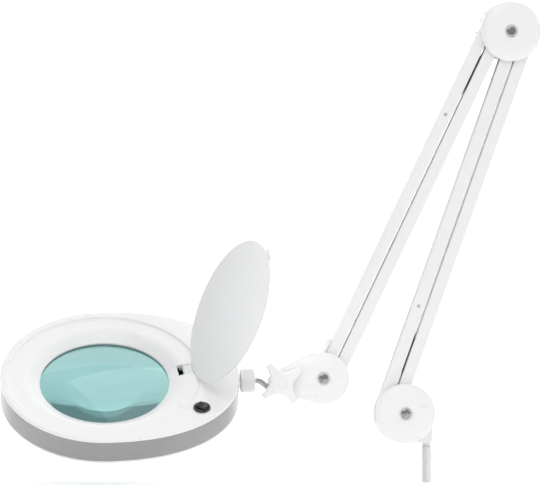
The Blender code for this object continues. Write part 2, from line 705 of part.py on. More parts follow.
def add_knob():
    """Star knob with its stud through the fork, and the nut at the back."""
    face = -(CAP_TOP + KNOB_STANDOFF)
    levels = ((0.0011, face), (0.0, face - 0.0011), (0.0, face - KNOB_THICKNESS + 0.0014),
              (0.0012, face - KNOB_THICKNESS))
    loops = [[(x, level, z) for x, z in star_outline(inset)] for inset, level in levels]
    knob = add_piece("star_knob", loft(loops), "knob", "white_abs")
    dimple = face - KNOB_THICKNESS
    cut(knob, rod(KNOB_CUP_RADIUS, dimple - PAST, dimple + KNOB_CUP_DEPTH, MEDIUM_STEPS))
    nut_face = CAP_TOP + GAP
    stud_end = nut_face + NUT_HEIGHT + STUD_END
    socket = face - KNOB_THICKNESS / 2
    cut(knob, rod(STUD_RADIUS + PIN_CLEAR, socket, face + PAST))
    add_piece("knob_stud", rod(STUD_RADIUS, socket + GAP, stud_end), "knob", "nickel_steel")
    nut = add_piece("knob_nut", rod(NUT_RADIUS, nut_face, nut_face + NUT_HEIGHT, 6), "front",
                    "nickel_steel", (KNOB_OFFSET[0], 0.0, KNOB_OFFSET[1]))
    cut(nut, rod(STUD_RADIUS + PIN_CLEAR, nut_face - PAST, nut_face + NUT_HEIGHT + PAST),
        (KNOB_OFFSET[0], 0.0, KNOB_OFFSET[1]))


# ---------------------------------------------------------------- neck
def neck_axis_point(distance):
    """Point on the swivel axis in the neck's frame, measured from the lens's axis."""
    local = Vector((distance, 0.0, -NECK_DROP))
    return HEAD_PLACE + HEAD_TURN @ local - KNOB_JOINT


def add_neck():
    """Eye on the stud, and the bent rod that carries the head."""
    half = PLATE_IN - GAP
    neck = add_piece("neck_rod", rod(EYE_RADIUS, -half, half, MEDIUM_STEPS), "neck", "chrome")
    cut(neck, rod(STUD_RADIUS + PIN_CLEAR, -half - PAST, half + PAST))
    inner = neck_axis_point(HEAD_NECK_REACH - ROD_INSERT)
    face = neck_axis_point(NECK_RADIUS + COLLAR_LENGTH / 2 + 0.0010)
    bend = face + Vector((0.0050, 0.0, -0.0012))
    low = Vector((-EYE_RADIUS - 0.0035, 0.0, -0.0045))
    path = [(point.x, point.z) for point in (inner, face, bend, low)]
    path.append((-EYE_RADIUS * 0.4, -0.0040))
    join(neck, sweep(path, ROD_RADIUS))


# ---------------------------------------------------------------- head
def head_loop(kind, size, depth):
    """Loop at a depth below the rim: a circle, or the head's outline pulled in by size."""
    loop = []
    for index in range(HEAD_POINTS):
        angle = 2.0 * math.pi * index / HEAD_POINTS
        radius = size if kind == "circle" else rim_radius(angle) - size
        loop.append((radius * math.cos(angle), radius * math.sin(angle), -depth))
    return loop


def head_ring(section):
    return loft([head_loop(*row) for row in section], ring=True)


def polar(radius, degrees, height=0.0):
    angle = math.radians(degrees)
    return Vector((radius * math.cos(angle), radius * math.sin(angle), height))


def about_z(degrees):
    return Matrix.Rotation(math.radians(degrees), 4, "Z")


UPRIGHT = Matrix.Rotation(math.radians(90.0), 4, "X")   # takes a rod along Y to along Z


def add_top_shell():
    """Upper casing: land, dish, bevel to the lens and the tube that holds the lens."""
    tube_out = LENS_TUBE_RADIUS + LENS_TUBE_WALL
    tube_low = HEAD_DEPTH - LENS_TUBE_INSET
    section = (
        ("rim", 0.0, BAND_TOP),
        ("rim", 0.0, 0.0019),
        ("rim", 0.0007, 0.0007),
        ("rim", 0.0024, 0.0),
        ("circle", DISH_RADIUS, 0.0),
        ("circle", DISH_RADIUS - DISH_DRAFT, DISH_DEPTH),
        ("circle", BEVEL_OUTER, DISH_DEPTH),
        ("circle", LENS_OPENING, BEVEL_DEPTH),
        ("circle", LENS_OPENING, LENS_SEAT),
        ("circle", LENS_TUBE_RADIUS, LENS_SEAT),
        ("circle", LENS_TUBE_RADIUS, tube_low),
        ("circle", tube_out, tube_low),
        ("circle", tube_out, BEVEL_DEPTH),
        ("circle", BEVEL_OUTER + 0.0020, DISH_DEPTH + SHELL_WALL),
        ("circle", DISH_RADIUS + 0.0010, DISH_DEPTH + SHELL_WALL),
        ("rim", RIM_WALL, BAND_TOP),
    )
    shell = add_piece("top_shell", head_ring(section), "head", "white_abs")
    underside = -(DISH_DEPTH + SHELL_WALL)
    boss_low = -BAND_BOTTOM
    for angle in BOSS_ANGLES:
        centre = polar(BOSS_PLACE, angle)
        boss = rod(BOSS_RADIUS, boss_low, underside + 0.0008)
        join(shell, boss, centre, UPRIGHT)
        bore = rod(SHELL_SCREW_RADIUS + GAP, boss_low - 0.001,
                   -HEAD_DEPTH + SHELL_SCREW_HEAD_HEIGHT + SHELL_SCREW_LENGTH + GAP)
        cut(shell, bore, centre, UPRIGHT)
    hole = rod(SWITCH_BARREL + GAP, -SWITCH_BARREL_DEPTH, SWITCH_FLANGE, MEDIUM_STEPS)
    cut(shell, hole, polar(*SWITCH_PLACE), UPRIGHT)
    add_hinge_seat(shell)


def add_hinge_seat(shell):
    """Slot in the dish for the cover's knuckle, and a lug at each end for its pin."""
    turn = about_z(COVER_AZIMUTH)
    half = HINGE_WIDTH / 2 + GAP
    underside = -(DISH_DEPTH + SHELL_WALL)
    reach = HINGE_KNUCKLE + HINGE_LUG_MARGIN
    for side in (-1, 1):
        near = half if side > 0 else -half - HINGE_LUG
        low = (COVER_PIVOT - reach, near, -COVER_PIVOT_DROP - HINGE_LUG_DEPTH)
        high = (COVER_PIVOT + reach, near + HINGE_LUG, underside + 0.0008)
        join(shell, block(low, high), turn=turn)
    slot = block((COVER_PIVOT - HINGE_SLOT[0], -half, -COVER_PIVOT_DROP - HINGE_SLOT_DEPTH),
                 (COVER_PIVOT + HINGE_SLOT[1], half, PAST))
    cut(shell, slot, turn=turn)
    reach = half + HINGE_LUG + PAST
    bore = rod(HINGE_PIN_RADIUS + PIN_CLEAR, -reach, reach, SMALL_STEPS,
               (COVER_PIVOT, -COVER_PIVOT_DROP))
    cut(shell, bore, turn=turn)


def add_casing():
    """Silver band and bottom shell, with the screws that close the head."""
    band = add_piece("trim_band", head_ring((
        ("rim", 0.0, BAND_TOP + GAP),
        ("rim", 0.0, BAND_BOTTOM),
        ("rim", BAND_WALL, BAND_BOTTOM),
        ("rim", BAND_WALL, BAND_TOP + GAP),
    )), "head", "brushed_silver")
    opening = rod(SOCKET_RADIUS + GAP, -HEAD_NECK_REACH - RIM_WALL, -HEAD_NECK_REACH + RIM_WALL,
                  MEDIUM_STEPS)
    cut(band, opening, (0.0, 0.0, -NECK_DROP), Matrix.Rotation(math.radians(90.0), 4, "Z"))
    bottom = add_piece("bottom_shell", head_ring((
        ("rim", 0.0, BAND_BOTTOM + GAP),
        ("rim", 0.0, HEAD_DEPTH - BOTTOM_BEVEL),
        ("rim", BOTTOM_BEVEL, HEAD_DEPTH),
        ("circle", DIFFUSER_OUTER + GAP, HEAD_DEPTH),
        ("circle", DIFFUSER_OUTER + GAP, BAND_BOTTOM + GAP),
    )), "head", "white_abs")
    head_low = HEAD_DEPTH - SHELL_SCREW_HEAD_HEIGHT
    for number, angle in enumerate(BOSS_ANGLES, 1):
        centre = polar(BOSS_PLACE, angle)
        cut(bottom, rod(SHELL_SCREW_RADIUS + GAP, -HEAD_DEPTH - PAST, -BAND_BOTTOM), centre, UPRIGHT)
        cut(bottom, rod(SHELL_SCREW_HEAD + GAP, -HEAD_DEPTH - PAST, GAP - head_low), centre, UPRIGHT)
        profile = (
            (SHELL_SCREW_HEAD, -HEAD_DEPTH),
            (SHELL_SCREW_HEAD, -head_low),
            (SHELL_SCREW_RADIUS, -head_low),
            (SHELL_SCREW_RADIUS, -head_low + SHELL_SCREW_LENGTH),
        )
        add_piece("shell_screw_%d" % number, turned(profile, SMALL_STEPS), "head", "nickel_steel", centre)


def add_optics():
    """Lens with its retaining ring, and the ring light under the dish."""
    top = -(LENS_SEAT + GAP)
    low = top - LENS_EDGE
    radius = LENS_TUBE_RADIUS - GAP
    clear = LENS_OPENING - GAP
    curve = [(clear * share, LENS_SAG * (1.0 - share * share))
             for share in (1.0, 0.86, 0.7, 0.52, 0.34, 0.16, 0.04)]
    profile = [(x, low - rise) for x, rise in reversed(curve)] + [(radius, low), (radius, top)]
    profile += [(x, top + rise) for x, rise in curve]
    add_piece("lens", turned(profile, LENS_STEPS), "head", "lens_glass")
    ring_top = low - GAP
    add_piece("lens_retainer", turned_ring((
        (radius, ring_top), (LENS_OPENING + 0.0008, ring_top),
        (LENS_OPENING + 0.0008, ring_top - RETAINER_HEIGHT), (radius, ring_top - RETAINER_HEIGHT),
    ), LENS_STEPS), "head", "white_abs")
    inner = LENS_TUBE_RADIUS + LENS_TUBE_WALL + GAP
    diffuser_top = -HEAD_DEPTH + DIFFUSER_THICKNESS
    add_piece("diffuser", turned_ring((
        (DIFFUSER_OUTER, diffuser_top), (inner, diffuser_top),
        (inner, -HEAD_DEPTH), (DIFFUSER_OUTER, -HEAD_DEPTH),
    ), LENS_STEPS), "head", "diffuser_acrylic")
    board_low = diffuser_top + BOARD_HEIGHT
    board_outer = BOSS_PLACE - BOSS_RADIUS - GAP
    add_piece("led_board", turned_ring((
        (board_outer, board_low + BOARD_THICKNESS), (inner, board_low + BOARD_THICKNESS),
        (inner, board_low), (board_outer, board_low),
    ), LENS_STEPS), "head", "circuit_board")
    half_wide, half_long = DRIVER_SIZE[0] / 2, DRIVER_SIZE[1] / 2
    driver = block((-half_wide, -half_long, board_low),
                   (half_wide, half_long, board_low + BOARD_THICKNESS))
    add_piece("driver_board", driver, "head", "circuit_board", polar(*DRIVER_PLACE),
              about_z(DRIVER_PLACE[1]))


def add_neck_socket():
    """Block inside the head whose tube passes the band and carries the collar."""
    wall = HEAD_NECK_REACH - BAND_WALL - SOCKET_WALL_GAP
    half = SOCKET_SIZE[1] / 2
    low = (wall - SOCKET_SIZE[0], -half, -(BAND_BOTTOM - SOCKET_FLOOR_GAP))
    high = (wall, half, -(DISH_DEPTH + SHELL_WALL + GAP))
    socket = add_piece("neck_socket", block(low, high), "head", "nickel_steel")
    collar_start = NECK_RADIUS - COLLAR_LENGTH / 2
    quarter = Matrix.Rotation(math.radians(-90.0), 4, "Z")
    centre = (0.0, 0.0, -NECK_DROP)
    tube_end = collar_start + SOCKET_REACH
    join(socket, rod(SOCKET_RADIUS, wall - SOCKET_RADIUS, tube_end, MEDIUM_STEPS), centre, quarter)
    bore_low = HEAD_NECK_REACH - ROD_INSERT - GAP
    cut(socket, rod(ROD_RADIUS + PIN_CLEAR, bore_low, tube_end + PAST), centre, quarter)
    section = (
        (COLLAR_RADIUS - COLLAR_BEVEL, 0.0),
        (COLLAR_RADIUS, COLLAR_BEVEL),
        (COLLAR_RADIUS, COLLAR_LENGTH - COLLAR_BEVEL),
        (COLLAR_RADIUS - COLLAR_BEVEL, COLLAR_LENGTH),
        (ROD_RADIUS + GAP, COLLAR_LENGTH),
        (ROD_RADIUS + GAP, SOCKET_REACH + GAP),
        (SOCKET_RADIUS + GAP, SOCKET_REACH + GAP),
        (SOCKET_RADIUS + GAP, 0.0),
    )
    add_piece("neck_collar", turned_ring(section, MEDIUM_STEPS), "head", "white_abs",
              (collar_start, 0.0, -NECK_DROP), Matrix.Rotation(math.radians(90.0), 4, "Y"))


# ---------------------------------------------------------------- lens cover
def add_cover():
    """Domed cover, modelled closed about its hinge pin; its frame swings it open."""
    rim = COVER_PIVOT_DROP - DISH_DEPTH + GAP
    crown = rim + COVER_RIM
    outer = []
    for share in (0.03, 0.3, 0.55, 0.78, 0.93):
        outer.append((COVER_RADIUS * share, crown + COVER_DOME * (1.0 - share ** 2.6)))
    inner = [(radius, height - COVER_WALL) for radius, height in outer]
    profile = inner + [(COVER_RADIUS - COVER_WALL, rim), (COVER_RADIUS, rim)]
    profile += [(COVER_RADIUS, crown - 0.0002)] + outer[::-1]
    cover = add_piece("lens_cover", turned(profile, LENS_STEPS), "cover", "white_abs",
                      (-COVER_PIVOT, 0.0, 0.0))
    half = HINGE_WIDTH / 2
    arm_end = -(COVER_PIVOT - COVER_RADIUS) - 0.0035
    knuckle = full_circle(HINGE_KNUCKLE, SMALL_STEPS)
    join(cover, prism(knuckle, -half, half))
    tab = ((arm_end, rim), (arm_end, rim + 0.0022), (-0.0035, rim + 0.0022), (0.0022, 0.0012),
           (0.0, -0.0020), (-0.0024, 0.0006), (-0.0050, rim))
    join(cover, prism(tab, -half, half))
    bore = rod(HINGE_PIN_RADIUS + PIN_CLEAR, -half - PAST, half + PAST)
    cut(cover, bore)
    far = -(COVER_PIVOT + COVER_RADIUS)
    finger = block((far - FINGER_TAB[1], -FINGER_TAB[0] / 2, rim),
                   (far + COVER_WALL, FINGER_TAB[0] / 2, rim + FINGER_TAB[2]))
    join(cover, finger)
    length = half + GAP + HINGE_LUG - 0.0002
    place = polar(COVER_PIVOT, COVER_AZIMUTH, -COVER_PIVOT_DROP)
    add_piece("cover_hinge_pin", rod(HINGE_PIN_RADIUS, -length, length), "head",
              "nickel_steel", place, about_z(COVER_AZIMUTH))


# ---------------------------------------------------------------- switch
def add_switch():
    """Round rocker switch set in the land."""
    place = polar(*SWITCH_PLACE)
    turn = about_z(SWITCH_PLACE[1])
    profile = (
        (SWITCH_BARREL, -SWITCH_BARREL_DEPTH),
        (SWITCH_BARREL, GAP),
        (SWITCH_RADIUS, GAP),
        (SWITCH_RADIUS, SWITCH_FLANGE - 0.0005),
        (SWITCH_RADIUS - 0.0006, SWITCH_FLANGE),
    )
    bezel = add_piece("switch_bezel", turned(profile, MEDIUM_STEPS), "head", "black_plastic",
                      place, turn)
    wide, long = ROCKER_SIZE[0] / 2, ROCKER_SIZE[1] / 2
    well = block((-long - GAP, -wide - GAP, -ROCKER_WELL), (long + GAP, wide + GAP, ROCKER_TOP))
    cut(bezel, well, place, turn)
    long -= GAP
    lip = ROCKER_TOP - 0.0012
    outline = ((-long, lip), (-long + 0.0008, ROCKER_TOP), (0.0, lip), (long - 0.0008, ROCKER_TOP),
               (long, lip), (ROCKER_FOOT, -ROCKER_DROP), (-ROCKER_FOOT, -ROCKER_DROP))
    add_piece("switch_rocker", prism(outline, -wide, wide), "rocker", "black_plastic")


# ---------------------------------------------------------------- assembly
def clear_scene():
    for obj in list(bpy.data.objects):
        bpy.data.objects.remove(obj, do_unlink=True)


def build_frames():
    lower_turn = Matrix.Rotation(math.radians(90.0 - LOWER_ANGLE), 4, "Y")
    upper_turn = Matrix.Rotation(math.radians(90.0 - UPPER_ANGLE), 4, "Y")
    frame("base", BASE_JOINT)
    frame("lower_a", Matrix.Translation(LOWER_A) @ lower_turn, "base")
    frame("lower_b", Matrix.Translation(LOWER_B) @ lower_turn, "base")
    frame("elbow", ELBOW_JOINT, "lower_a")
    frame("upper_a", Matrix.Translation(UPPER_A) @ upper_turn, "elbow")
    frame("upper_b", Matrix.Translation(UPPER_B) @ upper_turn, "elbow")
    frame("front", FRONT_JOINT, "upper_a")
    frame("knob", KNOB_JOINT, "front")
    frame("neck", KNOB_JOINT, "front")
    head = Matrix.Translation(HEAD_PLACE) @ HEAD_TURN
    frame("head", head, "neck")
    hinge = polar(COVER_PIVOT, COVER_AZIMUTH, -COVER_PIVOT_DROP)
    cover = head @ Matrix.Translation(hinge) @ about_z(COVER_AZIMUTH) @ COVER_SWING
    frame("cover", cover, "head")
    tilt = Matrix.Rotation(math.radians(ROCKER_THROW / 2), 4, "Y")
    switch = Matrix.Translation(polar(*SWITCH_PLACE)) @ about_z(SWITCH_PLACE[1]) @ tilt
    frame("rocker", head @ switch, "head")


def add_arms():
    """Both bar pairs; windows in their webs let each spring cross from bar to bar."""
    first = (BAR_RADIUS - BAR_WALL, BAR_RADIUS)
    second_web = (BAR_PITCH - BAR_RADIUS, BAR_PITCH - BAR_RADIUS + BAR_WALL)
    window = spring_window(LOWER_STAGGER, SPRING_REACH, *first)
    add_bar("lower_bar_a", "lower_a", 1, 1, anchor=SPRING_REACH, window=window)
    low, high = spring_window(LOWER_STAGGER, SPRING_REACH, *second_web)
    window = (low - LOWER_STAGGER, high - LOWER_STAGGER)
    add_bar("lower_bar_b", "lower_b", -1, 1, LOOP_CLEAR, window=window)
    add_spring("lower_spring", "lower_a", (BAR_PITCH, LOWER_STAGGER), SPRING_REACH)
    add_bar("upper_bar_a", "upper_a", -1, -1, anchor=-SPRING_REACH)
    low, high = spring_window(UPPER_STAGGER, -SPRING_REACH, *second_web)
    window = (low - UPPER_STAGGER, high - UPPER_STAGGER)
    add_bar("upper_bar_b", "upper_b", -1, -1, LOOP_CLEAR, window=window)
    add_spring("upper_spring", "upper_a", (BAR_PITCH, UPPER_STAGGER), -SPRING_REACH)


def main():
    clear_scene()
    build_frames()
    add_base()
    add_arms()
    add_elbow()
    add_front()
    add_knob()
    add_neck()
    add_top_shell()
    add_casing()
    add_optics()
    add_neck_socket()
    add_cover()
    add_switch()


main()
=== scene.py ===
"""Looks of the clamp-on magnifying lamp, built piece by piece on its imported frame.

Every piece is modelled in metres in the frame's own coordinates.  Places come from the
frame's joints and node boxes, and the sizes and colours that a user would change are
properties in the sidebar.
"""
import json
import math

import bmesh
import bpy
from bpy.props import FloatProperty, FloatVectorProperty, IntProperty, PointerProperty
from mathutils import Matrix, Vector


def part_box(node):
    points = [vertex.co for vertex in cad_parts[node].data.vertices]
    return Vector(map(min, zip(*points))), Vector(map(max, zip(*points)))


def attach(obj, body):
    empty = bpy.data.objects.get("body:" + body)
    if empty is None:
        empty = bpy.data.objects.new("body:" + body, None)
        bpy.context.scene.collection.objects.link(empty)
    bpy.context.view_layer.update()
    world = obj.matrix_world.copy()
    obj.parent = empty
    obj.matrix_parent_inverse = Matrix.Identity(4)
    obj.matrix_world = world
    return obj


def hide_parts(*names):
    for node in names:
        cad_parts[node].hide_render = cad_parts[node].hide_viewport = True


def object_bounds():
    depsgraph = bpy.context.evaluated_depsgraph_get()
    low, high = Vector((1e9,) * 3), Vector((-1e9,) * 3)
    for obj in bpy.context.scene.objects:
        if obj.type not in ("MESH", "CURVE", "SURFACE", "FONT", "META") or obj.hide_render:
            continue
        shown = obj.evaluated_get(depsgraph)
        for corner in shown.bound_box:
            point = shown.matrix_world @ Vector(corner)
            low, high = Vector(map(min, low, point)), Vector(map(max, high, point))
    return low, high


bl_info = {
    "name": "Magnifying lamp looks",
    "version": (1, 0, 0),
    "blender": (4, 5, 0),
    "location": "View3D > Sidebar > Lamp",
    "description": "Builds the casings, optics, arms, materials and stage of a magnifying lamp",
    "category": "Object",
}

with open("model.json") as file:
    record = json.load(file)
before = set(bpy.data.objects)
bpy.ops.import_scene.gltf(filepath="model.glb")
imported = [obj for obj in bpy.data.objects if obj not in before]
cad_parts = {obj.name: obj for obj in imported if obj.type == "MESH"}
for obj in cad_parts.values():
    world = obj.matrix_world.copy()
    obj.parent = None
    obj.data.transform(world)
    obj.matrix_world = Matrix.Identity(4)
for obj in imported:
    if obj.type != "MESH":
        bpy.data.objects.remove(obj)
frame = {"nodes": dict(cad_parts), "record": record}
CAD_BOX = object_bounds()
JOINTS = {joint["name"]: joint for joint in frame["record"]["behaviour"]["joints"]}
GAP = 0.0003                    # clearance between pieces that touch
LENS_MIDDLE_DROP = 0.0128       # the lens's middle below the rim's plane
NECK_DROP = 0.0120              # the neck's axis below the rim's plane
LENS_EDGE = 0.0050
LENS_SAG = 0.0062
LENS_TUBE = 0.0666
BEVEL_OUTER = 0.0730
BEVEL_DEPTH = 0.0085
DISH_DEPTH = 0.0020
LENS_SEAT = 0.0100
BAND_TOP = 0.0030
BAND_BOTTOM = 0.0245
BAND_WALL = 0.0018
WALL = 0.0026
ROUND = 96                      # points around a small round piece
LENS_PAINTED_GLOW = 0.30             # painted glow: the lens's glass gives off a faint light of its own
PLATE_INSET = 0.0010            # a housing's plates stay this far inside its caps
SLOT_HALF = 0.0106              # half the width between a housing's plates
SWITCH_HOLE = 0.0071            # bore in the top shell for the switch
SWITCH_BARREL = 0.0068          # bezel's barrel in that bore
BEZEL_RADIUS = 0.0080
BEZEL_HEIGHT = 0.0015           # bezel's flange above the land
ROCKER_HALF = 0.0049            # half the rocker's length
ROCKER_DEPTH = 0.0036           # half its width, and how far it goes below its pivot
HINGE_HALF = 0.0075             # half the slot between the hinge lugs
HINGE_BORE = 0.00145            # bore for the cover's pin
LUG_WIDTH = 0.0030              # one hinge lug, along the pin
LUG_REACH = 0.0049              # half a lug, across the pin
KNUCKLE_HALF = 0.0072           # half the cover's knuckle, along the pin
COVER_REACH = 0.0780            # from the cover's pin to its centre
COVER_WALL = 0.0018
TAB_HEIGHT = 0.0022             # cover's hinge tab above its rim
NECK_HOLE = 0.0073              # hole in the band for the neck
BOTTOM_OPENING = 0.0888         # radius of the opening in the bottom shell
DIFFUSER_OUTER = 0.0885
SCREW_WELL = 0.0029             # recess for a shell screw's head
LENS_CURVE_STEPS = 28
EMITTER_RING = 0.0790           # radius of the ring of emitters
EMITTER_SIZE = (0.0028, 0.0028, 0.0009)
CAP_HOLE = 0.0033               # bore in a joint cap for its screw
STUD_HOLE = 0.0034              # bore in the front cap for the knob's stud
SCREW_HOLE = 0.0032             # bore in a housing for its tension screw
SCREW_SHANK = 0.0029
BRACKET_PIN_HOLE = 0.0023
BAR_PIN_HOLE = 0.00235
SPRING_PIN_HOLE = 0.00165
PRESSED_EDGE = 0.0004           # rounded edge of a housing's pressings
BAR_WALL = 0.0015
WINDOW_HALF = 0.0038            # half the window in a bar's web
SPRING_RADIUS = 0.0032
SPRING_WIRE = 0.00048
HOOK_LENGTH = 0.0182            # from a spring's fixed pivot to its coil


# ---------------------------------------------------------------- places from the frame
def joint_point(name):
    """Where a joint stands in the frame."""
    return Vector(JOINTS[name]["pos_m"])


def joint_axis(name):
    """Direction of a joint's axis."""
    return Vector(JOINTS[name]["axis"]).normalized()


def middle(node):
    """Centre of a node's box."""
    low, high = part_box(node)
    return (Vector(low) + Vector(high)) / 2


def axes(x_axis, y_axis, z_axis, place):
    """Matrix whose columns are three axes and a place."""
    turn = Matrix((x_axis, y_axis, z_axis)).transposed().to_4x4()
    return Matrix.Translation(place) @ turn


def arm_frame(start, end):
    """Frame at an arm pivot with local Z along the arm; Y stays the pivots' direction."""
    z_axis = (end - start).normalized()
    y_axis = Vector((0.0, 1.0, 0.0))
    return axes(y_axis.cross(z_axis), y_axis, z_axis, start)


def about_z(degrees):
    """Turn about Z, in degrees."""
    return Matrix.Rotation(math.radians(degrees), 4, "Z")


def about_y(degrees):
    """Turn about Y, in degrees."""
    return Matrix.Rotation(math.radians(degrees), 4, "Y")


def about_x(degrees):
    """Turn about X, in degrees."""
    return Matrix.Rotation(math.radians(degrees), 4, "X")


# ---------------------------------------------------------------- user settings
class LampSizes(bpy.types.PropertyGroup):
    """Sizes that the looks need besides the frame's own places."""

    roll: FloatProperty(
        name="Head roll", description="Turn of the head about its neck, in degrees",
        default=36.7)
    half_width: FloatProperty(
        name="Head half width", description="Radius of the head's round side",
        default=0.0985, unit="LENGTH")
    neck_reach: FloatProperty(
        name="Neck reach", description="From the lens's axis to the rim at the neck",
        default=0.1270, unit="LENGTH")
    exponent: FloatProperty(
        name="Rim fullness", description="Superellipse exponent of the rim's neck side",
        default=2.25)
    opening: FloatProperty(
        name="Lens opening", description="Radius of the visible lens",
        default=0.0610, unit="LENGTH")
    dish: FloatProperty(
        name="Dish", description="Radius of the dish that takes the cover",
        default=0.0910, unit="LENGTH")
    head_depth: FloatProperty(
        name="Head depth", description="From the rim's plane to the underside",
        default=0.0280, unit="LENGTH")
    cover_radius: FloatProperty(
        name="Cover radius", description="Radius of the lens cover",
        default=0.0705, unit="LENGTH")
    disc_radius: FloatProperty(
        name="Disc cap radius", description="Base and elbow cap radius",
        default=0.0284, unit="LENGTH")
    front_radius: FloatProperty(
        name="Front cap radius", description="Round end of the pear-shaped cap",
        default=0.0246, unit="LENGTH")
    nose_radius: FloatProperty(
        name="Front nose radius", description="Narrow end of the pear-shaped cap",
        default=0.0108, unit="LENGTH")
    cap_height: FloatProperty(
        name="Cap height", description="Depth of a joint cap",
        default=0.0062, unit="LENGTH")
    bar_width: FloatProperty(
        name="Bar width", description="Width of one arm bar",
        default=0.0116, unit="LENGTH")
    bar_depth: FloatProperty(
        name="Bar depth", description="Depth of one arm bar, along the pivots",
        default=0.0200, unit="LENGTH")
    ribs: IntProperty(
        name="Collar ribs", description="Grip ribs around the neck collar", default=40)
    leds: IntProperty(
        name="Light emitters", description="Emitters on the ring board", default=60)
    coil_turns: IntProperty(
        name="Spring turns", description="Turns of each arm spring", default=32)


class LampColours(bpy.types.PropertyGroup):
    """Colours of the lamp's finishes, as sRGB values."""

    plastic: FloatVectorProperty(
        name="White plastic", description="Casings and joint caps", subtype="COLOR_GAMMA",
        default=(0.955, 0.957, 0.960))
    paint: FloatVectorProperty(
        name="White paint", description="Powder-coated arms", subtype="COLOR_GAMMA",
        default=(0.950, 0.953, 0.957))
    cover: FloatVectorProperty(
        name="Cover plastic", description="Lens cover", subtype="COLOR_GAMMA",
        default=(0.925, 0.928, 0.932))
    band: FloatVectorProperty(
        name="Band metal", description="Brushed band around the head",
        subtype="COLOR_GAMMA", default=(0.66, 0.66, 0.665))
    glass: FloatVectorProperty(
        name="Lens tint", description="Body tint of the lens", subtype="COLOR_GAMMA",
        default=(0.43, 0.585, 0.58))
    black: FloatVectorProperty(
        name="Black plastic", description="Switch", subtype="COLOR_GAMMA",
        default=(0.11, 0.11, 0.115))


def sizes():
    """The lamp's sizes, as the panel holds them."""
    return bpy.context.scene.lamp_sizes


def colours():
    """The lamp's colours, as the panel holds them."""
    return bpy.context.scene.lamp_colours


# ---------------------------------------------------------------- materials
def linear(srgb):
    """Linear colour with alpha from sRGB components."""
    values = [c / 12.92 if c <= 0.04045 else ((c + 0.055) / 1.055) ** 2.4 for c in srgb]
    return (*values, 1.0)


def add_node(tree, kind, **settings):
    """Add a shader node; settings name its sockets or its own properties."""
    node = tree.nodes.new(kind)
    for name, value in settings.items():
        label = name.replace("_", " ").title()
        if label in node.inputs:
            node.inputs[label].default_value = value
        else:
            setattr(node, name, value)
    return node


def new_material(name, colour, roughness, metallic=0.0):
    """Material with a Principled shader and object coordinates, for a finish to detail."""
    material = bpy.data.materials.new(name)
    material.use_nodes = True
    tree = material.node_tree
    shader = tree.nodes["Principled BSDF"]
    shader.inputs["Base Color"].default_value = linear(colour)
    shader.inputs["Roughness"].default_value = roughness
    shader.inputs["Metallic"].default_value = metallic
    coordinates = add_node(tree, "ShaderNodeTexCoord")
    return material, tree, shader, coordinates.outputs["Object"]


def add_noise(tree, vector, size_mm, detail=3.0, stretch=None, turn=None):
    """Noise whose features are about this many millimetres, stretched along its own axes."""
    mapping = add_node(tree, "ShaderNodeMapping", vector_type="TEXTURE")
    if turn is not None:
        mapping.inputs["Rotation"].default_value = turn.to_euler()
    tree.links.new(vector, mapping.inputs["Vector"])
    source = mapping.outputs["Vector"]
    if stretch:
        multiply = add_node(tree, "ShaderNodeVectorMath", operation="MULTIPLY")
        multiply.inputs[1].default_value = stretch
        tree.links.new(source, multiply.inputs[0])
        source = multiply.outputs["Vector"]
    noise = add_node(tree, "ShaderNodeTexNoise", scale=1000.0 / size_mm, detail=detail)
    tree.links.new(source, noise.inputs["Vector"])
    return noise.outputs["Fac"]


def add_slope(tree, value, source, target):
    """Map one span of a value onto another, clamped."""
    ramp = add_node(tree, "ShaderNodeMapRange")
    ramp.inputs["From Min"].default_value, ramp.inputs["From Max"].default_value = source
    ramp.inputs["To Min"].default_value, ramp.inputs["To Max"].default_value = target
    tree.links.new(value, ramp.inputs["Value"])
    return ramp.outputs["Result"]


def add_range(tree, value, low, high):
    """Map a noise value's usual span onto a range of plain numbers."""
    return add_slope(tree, value, (0.3, 0.7), (low, high))


def add_bump(tree, shader, height, depth_mm, strength=1.0):
    """Fine relief from a height, on a shader's normal."""
    bump = add_node(tree, "ShaderNodeBump", strength=strength, distance=depth_mm / 1000.0)
    tree.links.new(height, bump.inputs["Height"])
    tree.links.new(bump.outputs["Normal"], shader.inputs["Normal"])
    return bump


def add_tint(tree, shader, value, dark, light):
    """Drive the base colour between two close shades."""
    mix = add_node(tree, "ShaderNodeMix", data_type="RGBA")
    mix.inputs["A"].default_value = linear(dark)
    mix.inputs["B"].default_value = linear(light)
    tree.links.new(value, mix.inputs["Factor"])
    tree.links.new(mix.outputs["Result"], shader.inputs["Base Color"])


def shade(colour, share):
    """Colour scaled by a share."""
    return tuple(component * share for component in colour)


def moulded_abs(name, colour, roughness, grain_mm=0.5):
    """Satin moulded ABS: a fine spark-eroded grain and slight gloss changes."""
    material, tree, shader, vector = new_material(name, colour, roughness)
    grain = add_noise(tree, vector, grain_mm, 4.0)
    add_bump(tree, shader, grain, 0.010, 0.35)
    sheen = add_noise(tree, vector, 28.0, 2.0)
    tree.links.new(add_range(tree, sheen, roughness - 0.04, roughness + 0.05),
                   shader.inputs["Roughness"])
    add_tint(tree, shader, sheen, shade(colour, 0.994), colour)
    shader.inputs["Subsurface Weight"].default_value = 0.06
    shader.inputs["Subsurface Radius"].default_value = (0.002, 0.002, 0.002)
    shader.inputs["IOR"].default_value = 1.53
    return material


